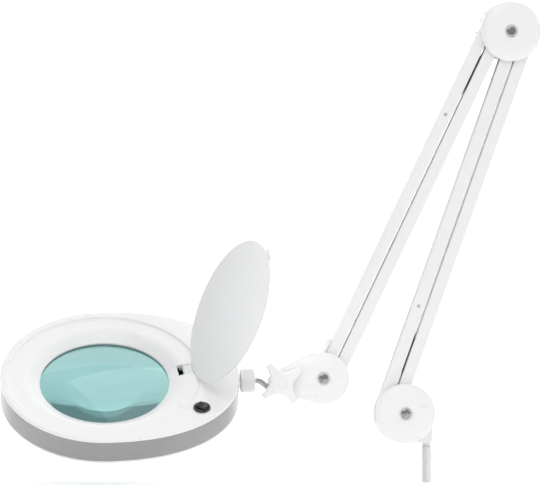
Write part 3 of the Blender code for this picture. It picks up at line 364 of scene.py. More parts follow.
def powder_coat(name, colour):
    """White powder coat on steel: orange peel with a fine speckle."""
    material, tree, shader, vector = new_material(name, colour, 0.34)
    peel = add_noise(tree, vector, 1.6, 2.0)
    add_bump(tree, shader, peel, 0.020, 0.30)
    speckle = add_noise(tree, vector, 9.0, 3.0)
    tree.links.new(add_range(tree, speckle, 0.30, 0.40), shader.inputs["Roughness"])
    add_tint(tree, shader, speckle, shade(colour, 0.985), colour)
    shader.inputs["Coat Weight"].default_value = 0.15
    shader.inputs["Coat Roughness"].default_value = 0.25
    return material


def brushed_metal(name, colour, roughness, turn, stretch):
    """Metal brushed along one way: long thin scratches in colour, gloss and height."""
    material, tree, shader, vector = new_material(name, colour, roughness, 0.85)
    lines = add_noise(tree, vector, 1.0, 6.0, stretch, turn)
    add_bump(tree, shader, lines, 0.012, 0.5)
    tree.links.new(add_range(tree, lines, roughness - 0.08, roughness + 0.12),
                   shader.inputs["Roughness"])
    add_tint(tree, shader, lines, shade(colour, 0.82), shade(colour, 1.10))
    return material


def plated_metal(name, colour, roughness, grain_mm=0.9):
    """Plated steel: mirror-like with faint waviness and handling marks."""
    material, tree, shader, vector = new_material(name, colour, roughness, 1.0)
    waves = add_noise(tree, vector, grain_mm * 6.0, 2.0)
    add_bump(tree, shader, waves, 0.010, 0.3)
    marks = add_noise(tree, vector, grain_mm, 5.0)
    tree.links.new(add_range(tree, marks, roughness * 0.7, roughness * 1.5),
                   shader.inputs["Roughness"])
    return material


def tinted_glass(name, colour):
    """Lens glass: clear and polished, tinted through its body, with a faint painted glow."""
    material, tree, shader, vector = new_material(name, colour, 0.0)
    shader.inputs["Transmission Weight"].default_value = 1.0
    shader.inputs["IOR"].default_value = 1.52
    # Painted glow: the glass emits a darker shade of its tint, standing in for light seen through the
    # lens.
    shader.inputs["Emission Color"].default_value = linear(shade(colour, 0.75))
    shader.inputs["Emission Strength"].default_value = LENS_PAINTED_GLOW
    polish = add_noise(tree, vector, 40.0, 1.0)
    tree.links.new(add_range(tree, polish, 0.0, 0.015), shader.inputs["Roughness"])
    add_tint(tree, shader, polish, shade(colour, 0.97), colour)
    return material


def frosted_acrylic(name, colour):
    """Opal diffuser with a satin face."""
    material, tree, shader, vector = new_material(name, colour, 0.5)
    shader.inputs["Transmission Weight"].default_value = 0.25
    shader.inputs["Subsurface Weight"].default_value = 0.4
    shader.inputs["Subsurface Radius"].default_value = (0.003, 0.003, 0.003)
    frost = add_noise(tree, vector, 0.4, 5.0)
    add_bump(tree, shader, frost, 0.02, 0.4)
    return material


def solder_mask(name, colour):
    """Circuit board: green mask with faint copper tracks beneath."""
    material, tree, shader, vector = new_material(name, colour, 0.4)
    tracks = add_node(tree, "ShaderNodeTexVoronoi", feature="DISTANCE_TO_EDGE", scale=260.0)
    tree.links.new(vector, tracks.inputs["Vector"])
    add_tint(tree, shader, tracks.outputs["Distance"], shade(colour, 1.25), colour)
    add_bump(tree, shader, tracks.outputs["Distance"], 0.02, 0.5)
    return material


def build_materials():
    """Every finish of the lamp, by name."""
    tint = colours()
    band_turn = head_frame().to_3x3()
    moulded_abs("satin_white_abs", tuple(tint.plastic), 0.30)
    moulded_abs("satin_cover_abs", tuple(tint.cover), 0.34)
    moulded_abs("matte_black_abs", tuple(tint.black), 0.38, 0.35)
    powder_coat("white_powder_coat", tuple(tint.paint))
    brushed_metal("brushed_aluminium", tuple(tint.band), 0.34, band_turn, (0.03, 0.03, 6.0))
    plated_metal("polished_chrome", (0.66, 0.66, 0.67), 0.07)
    plated_metal("satin_nickel", (0.90, 0.90, 0.90), 0.26, 0.6)
    plated_metal("oiled_spring_steel", (0.42, 0.42, 0.43), 0.32, 0.4)
    tinted_glass("tinted_lens_glass", tuple(tint.glass))
    frosted_acrylic("frosted_acrylic", (0.95, 0.95, 0.94))
    solder_mask("green_solder_mask", (0.16, 0.40, 0.25))


FINISH_OF_SLOT = {
    "white_abs": "satin_white_abs",
    "white_painted_steel": "white_powder_coat",
    "brushed_silver": "brushed_aluminium",
    "nickel_steel": "satin_nickel",
    "chrome": "polished_chrome",
    "spring_steel": "oiled_spring_steel",
    "lens_glass": "tinted_lens_glass",
    "black_plastic": "matte_black_abs",
    "diffuser_acrylic": "frosted_acrylic",
    "circuit_board": "green_solder_mask",
}


# ---------------------------------------------------------------- frames of the moving groups
def head_frame():
    """Origin on the lens's axis in the rim's plane, X to the neck, Z out of the rim."""
    neck = joint_axis("head_swivel")
    level = Matrix.Rotation(math.radians(sizes().roll), 3, neck)
    side = level @ Vector((0.0, 1.0, 0.0))
    up = neck.cross(side).normalized()
    return axes(neck, up.cross(neck), up, middle("lens") + up * LENS_MIDDLE_DROP)


def cover_frame():
    """Origin on the hinge pin; the closed cover would lie along -X before its swing."""
    pin = joint_axis("cover_hinge") * -1.0
    head = head_frame()
    up = head.to_3x3() @ Vector((0.0, 0.0, 1.0))
    closed = axes(pin.cross(up), pin, up, joint_point("cover_hinge"))
    swing = JOINTS["cover_hinge"]["range_deg"][1]
    return closed @ about_y(swing)


def rocker_frame():
    """Origin on the rocker's axis, with Z out of the bezel while the rocker leans."""
    pin = joint_axis("switch_rock") * -1.0
    up = head_frame().to_3x3() @ Vector((0.0, 0.0, 1.0))
    level = axes(pin.cross(up), pin, up, joint_point("switch_rock"))
    return level @ about_y(JOINTS["switch_rock"]["range_deg"][1] / 2)


# ---------------------------------------------------------------- mesh tools
def loft(loops, ring=False):
    """Skin through loops of equally many points; a ring closes on itself, else ends fill."""
    shape = bmesh.new()
    rows = [[shape.verts.new(point) for point in loop] for loop in loops]
    pairs = list(zip(rows, rows[1:] + rows[:1])) if ring else list(zip(rows, rows[1:]))
    count = len(rows[0])
    for low, high in pairs:
        for index in range(count):
            after = (index + 1) % count
            shape.faces.new((low[index], low[after], high[after], high[index]))
    if not ring:
        shape.faces.new(rows[0][::-1])
        shape.faces.new(rows[-1])
    return shape


def arc(radius, start, end, steps, centre=(0.0, 0.0)):
    """Points of an arc in a plane, angles in degrees."""
    points = []
    for index in range(steps + 1):
        angle = math.radians(start + (end - start) * index / steps)
        points.append((centre[0] + radius * math.cos(angle),
                       centre[1] + radius * math.sin(angle)))
    return points


def circle(radius, steps=ROUND, centre=(0.0, 0.0)):
    """Points of a circle in a plane."""
    return arc(radius, 0.0, 360.0, steps, centre)[:-1]


def fillet(before, corner, after, radius, steps=4):
    """Points that round one corner of a section."""
    corner = Vector(corner)
    into = (Vector(before) - corner)
    out = (Vector(after) - corner)
    reach = min(radius, into.length * 0.45, out.length * 0.45)
    start = corner + into.normalized() * reach
    end = corner + out.normalized() * reach
    points = []
    for index in range(steps + 1):
        share = index / steps
        points.append(tuple(start * (1 - share) ** 2 + corner * 2 * share * (1 - share)
                            + end * share ** 2))
    return points


def soften(section, radius, closed=True):
    """Round every corner of a section of (radius, height) points."""
    points = []
    count = len(section)
    for index, corner in enumerate(section):
        if not closed and index in (0, count - 1):
            points.append(tuple(corner))
            continue
        points += fillet(section[index - 1], corner, section[(index + 1) % count], radius)
    return points


def turned(profile, steps=ROUND, ring=False):
    """Solid of revolution about Z from (radius, height) points."""
    loops = [[(x, y, height) for x, y in circle(radius, steps)] for radius, height in profile]
    return loft(loops, ring)


def prism(outline, low, high):
    """Outline in the XZ plane, extruded along Y."""
    return loft([[(x, low, z) for x, z in outline], [(x, high, z) for x, z in outline]])


def block(low, high):
    """Box between two corners."""
    shape = bmesh.new()
    bmesh.ops.create_cube(shape, size=1.0)
    for vert in shape.verts:
        for axis in range(3):
            vert.co[axis] = (low[axis] + high[axis]) / 2 + vert.co[axis] * (high[axis] - low[axis])
    return shape


def mesh_object(name, shape, place):
    """Object at the world's origin whose mesh stands at a place."""
    shape.transform(place)
    bmesh.ops.recalc_face_normals(shape, faces=shape.faces)
    mesh = bpy.data.meshes.new(name)
    shape.to_mesh(mesh)
    shape.free()
    obj = bpy.data.objects.new(name, mesh)
    bpy.context.scene.collection.objects.link(obj)
    return obj


def evaluate(obj):
    """Apply an object's modifiers to its mesh."""
    graph = bpy.context.evaluated_depsgraph_get()
    mesh = bpy.data.meshes.new_from_object(obj.evaluated_get(graph))
    obj.modifiers.clear()
    obj.data = mesh


def cut(obj, shape, place, operation="DIFFERENCE"):
    """Cut a shape out of an object, or join it on."""
    tool = mesh_object("tool", shape, place)
    step = obj.modifiers.new("step", "BOOLEAN")
    step.operation = operation
    step.solver = "EXACT"
    step.object = tool
    evaluate(obj)
    bpy.data.objects.remove(tool)


def bevel(obj, width, segments=3, angle=35.0):
    """Round a piece's sharp edges."""
    step = obj.modifiers.new("bevel", "BEVEL")
    step.width = width
    step.segments = segments
    step.limit_method = "ANGLE"
    step.angle_limit = math.radians(angle)
    step.harden_normals = False
    evaluate(obj)


def finish_piece(obj, material, body, *nodes, sharp=35.0):
    """Shade, coat and mount a piece, and let it stand for its CAD nodes."""
    obj.data.materials.clear()
    obj.data.materials.append(bpy.data.materials[material])
    obj.data.shade_smooth()
    obj.data.set_sharp_from_angle(angle=math.radians(sharp))
    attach(obj, body)
    if nodes:
        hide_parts(*nodes)
    return obj


# ---------------------------------------------------------------- head outline
def rim_radius(angle):
    """Distance from the lens's axis to the head's outline in a direction, in radians."""
    size = sizes()
    if math.cos(angle) <= 0.0:
        return size.half_width
    ahead = (math.cos(angle) / size.neck_reach) ** size.exponent
    aside = (abs(math.sin(angle)) / size.half_width) ** size.exponent
    return (ahead + aside) ** (-1.0 / size.exponent)


def head_loop(kind, size, depth, steps=240):
    """Loop at a depth below the rim: a circle, or the outline pulled in by size."""
    loop = []
    for index in range(steps):
        angle = 2.0 * math.pi * index / steps
        radius = size if kind == "circle" else rim_radius(angle) - size
        loop.append((radius * math.cos(angle), radius * math.sin(angle), -depth))
    return loop


def head_ring(section):
    """Closed ring lofted through the loops of a head section."""
    return loft([head_loop(*row) for row in section], ring=True)


def rounded_rows(kind, start, corner, end, radius, steps=5):
    """Loops that round a corner between two rows of the same kind."""
    return [(kind, size, depth) for size, depth in fillet(start, corner, end, radius, steps)]


# ---------------------------------------------------------------- head pieces
def build_top_shell():
    """Upper casing with its land, dish, bevel, lens tube, hinge slot and switch hole."""
    size = sizes()
    dish, opening = size.dish, size.opening
    floor = DISH_DEPTH + WALL
    tube = LENS_TUBE + 0.0020
    rows = [("rim", 0.0, BAND_TOP)]
    rows += rounded_rows("rim", (0.0, BAND_TOP), (0.0, 0.0), (0.006, 0.0), 0.0025, 8)
    edge = (dish - 0.0008, DISH_DEPTH)
    rows += rounded_rows("circle", (dish + 0.004, 0.0), (dish, 0.0), edge, 0.0009)
    rows += rounded_rows("circle", (dish, 0.0), edge, (BEVEL_OUTER, DISH_DEPTH), 0.0012)
    lip = (opening, BEVEL_DEPTH)
    rows += rounded_rows("circle", edge, (BEVEL_OUTER, DISH_DEPTH), lip, 0.0050, 8)
    rows += rounded_rows("circle", (BEVEL_OUTER, DISH_DEPTH), lip, (opening, LENS_SEAT), 0.0007)
    rows += [
        ("circle", opening, LENS_SEAT),
        ("circle", LENS_TUBE, LENS_SEAT),
        ("circle", LENS_TUBE, size.head_depth - 0.0010),
        ("circle", tube, size.head_depth - 0.0010),
        ("circle", tube, BEVEL_DEPTH),
        ("circle", BEVEL_OUTER + 0.0020, floor),
        ("circle", dish + 0.0010, floor),
        ("rim", 0.0050, BAND_TOP),
    ]
    head = head_frame()
    shell = mesh_object("top_shell_moulding", head_ring(rows), head)
    inverse = head.inverted()
    switch = inverse @ joint_point("switch_rock")
    hole = turned(((SWITCH_HOLE, -0.012), (SWITCH_HOLE, 0.004)))
    cut(shell, hole, head @ Matrix.Translation((switch.x, switch.y, 0.0)))
    pin = inverse @ joint_point("cover_hinge")
    azimuth = math.degrees(math.atan2(pin.y, pin.x))
    reach = math.hypot(pin.x, pin.y)
    turn = head @ about_z(azimuth)
    half = HINGE_HALF
    for side in (-1, 1):
        near = half if side > 0 else -half - LUG_WIDTH
        lug = block((reach - LUG_REACH, near, pin.z - 0.0040),
                    (reach + LUG_REACH, near + LUG_WIDTH, -0.0038))
        cut(shell, lug, turn, "UNION")
    slot = block((reach - 0.0078, -half, -0.0095), (reach + 0.0100, half, 0.003))
    cut(shell, slot, turn)
    bore = prism(circle(HINGE_BORE, 32, (reach, pin.z)), -0.0115, 0.0115)
    cut(shell, bore, turn)
    finish_piece(shell, "satin_white_abs", "head", "top_shell", sharp=38.0)


def build_casing():
    """Brushed band and bottom shell."""
    size = sizes()
    head = head_frame()
    top, low = BAND_TOP + GAP, BAND_BOTTOM
    rows = rounded_rows("rim", (BAND_WALL, top), (0.0, top), (0.0, low), 0.0003, 3)
    rows += rounded_rows("rim", (0.0, top), (0.0, low), (BAND_WALL, low), 0.0003, 3)
    rows += [("rim", BAND_WALL, low), ("rim", BAND_WALL, top)]
    band = mesh_object("brushed_band", head_ring(rows), head)
    hole = turned(((NECK_HOLE, size.neck_reach - 0.006), (NECK_HOLE, size.neck_reach + 0.004)), 48)
    cut(band, hole, head @ Matrix.Translation((0.0, 0.0, -NECK_DROP)) @ about_y(90.0))
    finish_piece(band, "brushed_aluminium", "head", "trim_band", sharp=50.0)
    seam, depth = BAND_BOTTOM + GAP, size.head_depth
    inner = BOTTOM_OPENING
    rows = [("rim", 0.0, seam)]
    rows += rounded_rows("rim", (0.0, seam), (0.0, depth), (0.006, depth), 0.0016, 6)
    rows += [("circle", inner + 0.0005, depth), ("circle", inner, depth - 0.0005),
             ("circle", inner, seam)]
    bottom = mesh_object("bottom_shell_moulding", head_ring(rows), head)
    for number in range(1, 5):
        place = head.inverted() @ middle("shell_screw_%d" % number)
        centre = Matrix.Translation((place.x, place.y, 0.0))
        well = turned(((SCREW_WELL, -depth - 0.002), (SCREW_WELL, -depth + 0.0017)), 32)
        cut(bottom, well, head @ centre)
    finish_piece(bottom, "satin_white_abs", "head", "bottom_shell", sharp=40.0)


def build_shell_screws():
    """Cross-recessed screws that close the head from below."""
    head = head_frame()
    depth = sizes().head_depth
    for number in range(1, 5):
        node = "shell_screw_%d" % number
        place = head.inverted() @ middle(node)
        centre = head @ Matrix.Translation((place.x, place.y, 0.0))
        profile = [(0.0004, -depth)] + fillet((0.0004, -depth), (0.0026, -depth),
                                              (0.0026, -depth + 0.0014), 0.0007)
        profile += [(0.0026, -depth + 0.0014), (0.0012, -depth + 0.0014),
                    (0.0012, -depth + 0.0134)]
        screw = mesh_object(node + "_head", turned(profile, 32), centre)
        for turn in (0.0, 90.0):
            slot = block((-0.0016, -0.00035, -depth - 0.001), (0.0016, 0.00035, -depth + 0.0008))
            cut(screw, slot, centre @ about_z(turn))
        finish_piece(screw, "satin_nickel", "head", node)


def build_lens():
    """Biconvex lens with a ground edge, and the ring that retains it."""
    size = sizes()
    head = head_frame()
    top = -(LENS_SEAT + GAP)
    low = top - LENS_EDGE
    edge = LENS_TUBE - GAP
    clear = size.opening - GAP
    curve = [(clear * step / LENS_CURVE_STEPS, LENS_SAG * (1.0 - (step / LENS_CURVE_STEPS) ** 2))
             for step in range(LENS_CURVE_STEPS, 0, -1)]
    profile = [(x, low - rise) for x, rise in reversed(curve)]
    profile += [(edge, low), (edge, top)]
    profile += [(x, top + rise) for x, rise in curve]
    lens = mesh_object("lens_element", turned(profile, 192), head)
    finish_piece(lens, "tinted_lens_glass", "head", "lens", sharp=25.0)
    ring_top = low - GAP
    inner = size.opening + 0.0008
    section = soften([(edge, ring_top), (inner, ring_top), (inner, ring_top - 0.0035),
                      (edge, ring_top - 0.0035)], 0.0004)
    ring = mesh_object("lens_retaining_ring", turned(section, 160, ring=True), head)
    finish_piece(ring, "satin_white_abs", "head", "lens_retainer")
    inside, depth = LENS_TUBE + 0.0023, size.head_depth
    section = soften([(DIFFUSER_OUTER, -depth + 0.0020), (inside, -depth + 0.0020), (inside, -depth),
                      (DIFFUSER_OUTER, -depth)], 0.0003)
    diffuser = mesh_object("diffuser_ring", turned(section, 160, ring=True), head)
    finish_piece(diffuser, "frosted_acrylic", "head", "diffuser")


def ring_points_group(name, count, radius, size, material):
    """Geometry Nodes: small blocks spaced evenly around a circle and facing out from it."""
    group = bpy.data.node_groups.new(name, "GeometryNodeTree")
    face = group.interface
    face.new_socket(name="Count", in_out="INPUT", socket_type="NodeSocketInt")
    face.new_socket(name="Radius", in_out="INPUT", socket_type="NodeSocketFloat")
    face.new_socket(name="Size", in_out="INPUT", socket_type="NodeSocketVector")
    face.new_socket(name="Geometry", in_out="OUTPUT", socket_type="NodeSocketGeometry")
    nodes, links = group.nodes, group.links
    start = nodes.new("NodeGroupInput")
    end = nodes.new("NodeGroupOutput")
    loop = nodes.new("GeometryNodeCurvePrimitiveCircle")
    points = nodes.new("GeometryNodeCurveToPoints")
    chip = nodes.new("GeometryNodeMeshCube")
    spread = nodes.new("GeometryNodeInstanceOnPoints")
    real = nodes.new("GeometryNodeRealizeInstances")
    coat = nodes.new("GeometryNodeSetMaterial")
    coat.inputs["Material"].default_value = bpy.data.materials[material]
    links.new(start.outputs["Radius"], loop.inputs["Radius"])
    links.new(loop.outputs["Curve"], points.inputs["Curve"])
    links.new(start.outputs["Count"], points.inputs["Count"])
    links.new(start.outputs["Size"], chip.inputs["Size"])
    links.new(points.outputs["Points"], spread.inputs["Points"])
    links.new(points.outputs["Rotation"], spread.inputs["Rotation"])
    links.new(chip.outputs["Mesh"], spread.inputs["Instance"])
    links.new(spread.outputs["Instances"], real.inputs["Geometry"])
    links.new(real.outputs["Geometry"], coat.inputs["Geometry"])
    links.new(coat.outputs["Geometry"], end.inputs["Geometry"])
    inputs = {"Count": count, "Radius": radius, "Size": size}
    return group, inputs


def coil_group(name, turns, radius, length, wire, material):
    """Geometry Nodes: a close helix along Z with a round wire."""
    group = bpy.data.node_groups.new(name, "GeometryNodeTree")
    face = group.interface
    for label in ("Turns", "Radius", "Length", "Wire"):
        face.new_socket(name=label, in_out="INPUT", socket_type="NodeSocketFloat")
    face.new_socket(name="Geometry", in_out="OUTPUT", socket_type="NodeSocketGeometry")
    nodes, links = group.nodes, group.links
    start = nodes.new("NodeGroupInput")
    end = nodes.new("NodeGroupOutput")
    helix = nodes.new("GeometryNodeCurveSpiral")
    helix.inputs["Resolution"].default_value = 20
    section = nodes.new("GeometryNodeCurvePrimitiveCircle")
    section.inputs["Resolution"].default_value = 8
    skin = nodes.new("GeometryNodeCurveToMesh")
    skin.inputs["Fill Caps"].default_value = True
    real = nodes.new("GeometryNodeRealizeInstances")
    coat = nodes.new("GeometryNodeSetMaterial")
    coat.inputs["Material"].default_value = bpy.data.materials[material]
    links.new(start.outputs["Turns"], helix.inputs["Rotations"])
    links.new(start.outputs["Radius"], helix.inputs["Start Radius"])
    links.new(start.outputs["Radius"], helix.inputs["End Radius"])
    links.new(start.outputs["Length"], helix.inputs["Height"])
    links.new(start.outputs["Wire"], section.inputs["Radius"])
    links.new(helix.outputs["Curve"], skin.inputs["Curve"])
    links.new(section.outputs["Curve"], skin.inputs["Profile Curve"])
    links.new(skin.outputs["Mesh"], real.inputs["Geometry"])
    links.new(real.outputs["Geometry"], coat.inputs["Geometry"])
    links.new(coat.outputs["Geometry"], end.inputs["Geometry"])
    inputs = {"Turns": turns, "Radius": radius, "Length": length, "Wire": wire}
    return group, inputs


def grown(name, group, inputs, place):
    """Mesh object from a geometry node group, with its mesh standing at a place."""
    carrier = bpy.data.objects.new(name + "_carrier", bpy.data.meshes.new(name))
    bpy.context.scene.collection.objects.link(carrier)
    step = carrier.modifiers.new("grow", "NODES")
    step.node_group = group
    for item in group.interface.items_tree:
        if item.in_out == "INPUT":
            step[item.identifier] = inputs[item.name]
    graph = bpy.context.evaluated_depsgraph_get()
    mesh = bpy.data.meshes.new_from_object(carrier.evaluated_get(graph))
    bpy.data.objects.remove(carrier)
    mesh.transform(place)
    obj = bpy.data.objects.new(name, mesh)
    bpy.context.scene.collection.objects.link(obj)
    return obj


def build_light():
    """Emitters on the ring board; the boards themselves keep their CAD shape."""
    head = head_frame()
    board = head.inverted() @ middle("led_board")
    group, inputs = ring_points_group("emitter_ring", sizes().leds, EMITTER_RING,
                                      EMITTER_SIZE, "frosted_acrylic")
    ring = grown("light_emitters", group, inputs,
                 head @ Matrix.Translation((0.0, 0.0, board.z - 0.0008 - 0.00046)))
    finish_piece(ring, "frosted_acrylic", "head")


# ---------------------------------------------------------------- lens cover
def build_cover():
    """Domed cover with its rim, knuckle and finger tab, swung open."""
    radius = sizes().cover_radius
    place = cover_frame()
    pin = head_frame().inverted() @ joint_point("cover_hinge")
    reach = COVER_REACH
    rim = -pin.z - DISH_DEPTH + GAP
    crown = rim + 0.0013
    outer = [(radius * share, crown + 0.0058 * (1.0 - share ** 2.6))
             for share in [0.01 + 0.93 * step / 22.0 for step in range(23)]]
    inner = [(x, height - COVER_WALL) for x, height in outer]
    profile = inner + fillet(inner[-1], (radius - COVER_WALL, rim + 0.0002), (radius - 0.0016, rim),
                             0.0004, 2)
    profile += fillet((radius - 0.0016, rim), (radius, rim), (radius, crown), 0.0004, 3)
    profile += fillet((radius, rim), (radius, crown - 0.0002), outer[-1], 0.0006, 4) + outer[::-1]
    cover = mesh_object("lens_cover_moulding", turned(profile, 192),
                        place @ Matrix.Translation((-reach, 0.0, 0.0)))
    half = KNUCKLE_HALF
    arm_end = -(reach - radius) - 0.0035
    tab = ((arm_end, rim), (arm_end, rim + TAB_HEIGHT), (-0.0035, rim + TAB_HEIGHT), (-0.0010, 0.0042),
           (0.0012, 0.0028), (0.0022, 0.0012), (0.0, -0.0020), (-0.0024, 0.0006), (-0.0050, rim))
    # Corners that would stand above the tab's own top are left out.
    tab = [point for point in tab if point[1] <= rim + TAB_HEIGHT]
    cut(cover, prism(circle(0.0027, 40), -half, half), place, "UNION")
    cut(cover, prism(tab, -half, half), place, "UNION")
    cut(cover, prism(circle(HINGE_BORE, 32), -half - 0.001, half + 0.001), place)
    far = -(reach + radius)
    finger = block((far - 0.0035, -0.0080, rim), (far + 0.0020, 0.0080, rim + 0.0016))
    bmesh.ops.bevel(finger, geom=list(finger.edges), offset=0.0005, segments=3,
                    affect="EDGES")
    cut(cover, finger, place, "UNION")
    finish_piece(cover, "satin_cover_abs", "cover", "lens_cover", sharp=32.0)


# ---------------------------------------------------------------- switch
def build_switch():
    """Round bezel and its rocker."""
    head = head_frame()
    inverse = head.inverted()
    pivot = inverse @ joint_point("switch_rock")
    turn = math.degrees(math.atan2(pivot.y, pivot.x))
    place = head @ Matrix.Translation((pivot.x, pivot.y, 0.0)) @ about_z(turn)
    profile = [(SWITCH_BARREL, -0.0120), (SWITCH_BARREL, GAP)]
    corner = (BEZEL_RADIUS, BEZEL_HEIGHT)
    profile += fillet((SWITCH_BARREL, GAP), (BEZEL_RADIUS, GAP), corner, 0.0003, 2)
    profile += fillet((BEZEL_RADIUS, GAP), corner, (0.0060, BEZEL_HEIGHT), 0.0009, 6)
    bezel = mesh_object("switch_bezel_moulding", turned(profile, 96), place)
    cut(bezel, block((-0.0055, -0.0039, -0.0085), (0.0055, 0.0039, 0.004)), place)
    bevel(bezel, 0.00025, 2, 50.0)
    finish_piece(bezel, "matte_black_abs", "head", "switch_bezel")
    lean = rocker_frame()
    half = ROCKER_HALF
    outline = [(-half, 0.0030), (-half + 0.0008, 0.0042)]
    outline += [(x * half * 0.8, 0.0030 + 0.0011 * x * x) for x in
                [-0.75 + 0.25 * step for step in range(7)]]
    outline += [(half - 0.0008, 0.0042), (half, 0.0030)]
    outline += [(0.0030, -ROCKER_DEPTH), (-0.0030, -ROCKER_DEPTH)]
    rocker = mesh_object("switch_rocker_moulding", prism(outline, -ROCKER_DEPTH, ROCKER_DEPTH), lean)
    bevel(rocker, 0.0003, 3, 40.0)
    finish_piece(rocker, "matte_black_abs", "rocker", "switch_rocker")


# ---------------------------------------------------------------- joint housings
def pear(big, small, offset, steps=72):
    """Outline around a big circle at the origin and a small one at offset, by tangents."""
    distance = math.hypot(*offset)
    heading = math.degrees(math.atan2(offset[1], offset[0]))
    spread = math.degrees(math.acos((big - small) / distance))
    nose = arc(small, heading - spread, heading + spread, steps // 2, offset)
    return nose + arc(big, heading + spread, heading - spread + 360.0, steps)


def disc_outline(inset):
    """Outline of a round cap, set in by an amount."""
    return circle(sizes().disc_radius - inset, 128)


def knob_offset():
    """The star knob's place from the front housing's centre, as X and Z."""
    offset = joint_point("head_tilt") - front_place()
    return offset.x, offset.z


def pear_outline(inset):
    """Outline of a pear-shaped cap, set in by an amount."""
    size = sizes()
    return pear(size.front_radius - inset, size.nose_radius - inset, knob_offset())


def housing_place(label):
    """Centre of a joint housing, from its tension screw."""
    centre = middle(label + "_tension_screw")
    return Vector((centre.x, 0.0, centre.z))


def front_place():
    """Centre of the front housing."""
    return housing_place("front")


def along_y(profile, side, steps=64):
    """Turned piece about Y; side gives the way its heights point."""
    shape = turned(profile, steps)
    shape.transform(about_x(-90.0 * side))
    return shape


def build_cap(node, body, outline_at, label, stud=False):
    """Moulded cap: soft shoulder, flared dimple for the screw and its clearance hole."""
    place = Matrix.Translation(housing_place(label))
    side = 1 if node.endswith("back") else -1
    low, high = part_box(node)
    base = min(abs(low[1]), abs(high[1]))
    height = sizes().cap_height
    rows = [(0.0006, 0.0), (0.0, 0.0006), (0.0, 0.0020)]
    for step in range(1, 13):
        angle = math.radians(90.0 * step / 12.0)
        rise = (height - 0.0026) * math.sin(angle)
        rows.append((0.0088 * (1.0 - math.cos(angle)), 0.0020 + rise))
    rows += [(0.0094, height - 0.00045), (0.0100, height - 0.00035)]
    loops = []
    for inset, level in rows:
        loops.append([(x, side * (base + level), z) for x, z in outline_at(inset)])
    cap = mesh_object(node + "_moulding", loft(loops), place)
    hole = turned(((CAP_HOLE, base - 0.001), (CAP_HOLE, base + height + 0.001)), 40)
    hole.transform(about_x(-90.0 * side))
    cut(cap, hole, place)
    seat = base + height - 0.0016
    flare = [(0.0058, seat), (0.0058, seat + 0.0004), (0.0062, seat + 0.0009),
             (0.0071, seat + 0.00125), (0.0100, seat + 0.0022)]
    cut(cap, along_y(flare, side, 96), place)
    if stud:
        offset = Matrix.Translation((knob_offset()[0], 0.0, knob_offset()[1]))
        bore = turned(((STUD_HOLE, base - 0.001), (STUD_HOLE, base + height + 0.001)), 40)
        bore.transform(about_x(-90.0 * side))
        cut(cap, bore, place @ offset)
    finish_piece(cap, "satin_white_abs", body, node, sharp=40.0)


def build_tension_screw(label, body):
    """Chrome slotted screw with a domed head, and the hex nut at the back."""
    place = Matrix.Translation(housing_place(label))
    node = label + "_tension_screw"
    low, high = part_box(node)
    head_face, end = -low[1], high[1]
    under = head_face - 0.0018
    profile = [(0.0002, head_face)]
    for step in range(1, 9):
        angle = math.radians(90.0 * step / 8.0)
        fall = 0.0009 * (1.0 - math.cos(angle))
        profile.append((0.0032 + 0.0015 * math.sin(angle), head_face - fall))
    profile += [(0.0047, under), (SCREW_SHANK, under), (SCREW_SHANK, -end + 0.0006), (0.0023, -end)]
    screw = mesh_object(node + "_turning", along_y(profile, -1, 64), place)
    slot = block((-0.006, -head_face - 0.001, -0.00055), (0.006, -head_face + 0.0010, 0.00055))
    cut(screw, slot, place @ about_y(-40.0))
    finish_piece(screw, "polished_chrome", body, node, sharp=30.0)
    build_nut(label + "_nut", body, 0.00305)


def build_nut(node, body, bore):
    """Hexagon nut with chamfered corners and a countersunk thread."""
    low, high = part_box(node)
    centre = middle(node)
    place = Matrix.Translation((centre.x, 0.0, centre.z))
    nut = mesh_object(node + "_hex", prism(circle(0.0055, 6), low[1], high[1]), place)
    cone = ((0.0049, low[1] - 0.0001), (0.0056, low[1] + 0.0005), (0.0056, high[1] - 0.0005),
            (0.0049, high[1] + 0.0001))
    cut(nut, along_y(cone, 1, 64), place, "INTERSECT")
    hole = ((bore + 0.0004, low[1] - 0.0002), (bore, low[1] + 0.0004), (bore, high[1] - 0.0004),
            (bore + 0.0004, high[1] + 0.0002))
    cut(nut, along_y(hole, 1, 48), place)
    finish_piece(nut, "satin_nickel", body, node, sharp=25.0)


def build_pin(node, body, material="satin_nickel"):
    """Pivot pin along Y with chamfered ends, the size of its node's box."""
    low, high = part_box(node)
    radius = (high[0] - low[0]) / 2
    ends = 0.0003
    profile = [(radius - ends, low[1]), (radius, low[1] + ends), (radius, high[1] - ends),
               (radius - ends, high[1])]
    centre = middle(node)
    pin = mesh_object(node + "_turning", along_y(profile, 1, 40),
                      Matrix.Translation((centre.x, 0.0, centre.z)))
    finish_piece(pin, material, body, node, sharp=30.0)


def plates(outline, node, body_place):
    """Solid of an outline as deep as its node's box."""
    low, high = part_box(node)
    return mesh_object(node + "_pressing", prism(outline, low[1], high[1]), body_place)


def drill(obj, radius, *places):
    """Holes along Y through a piece."""
    for place in places:
        cut(obj, prism(circle(radius, 48), -0.030, 0.030), Matrix.Translation(place))


def pins_of(*nodes):
    """Places of pins that run along Y."""
    return [Vector((middle(node).x, 0.0, middle(node).z)) for node in nodes]


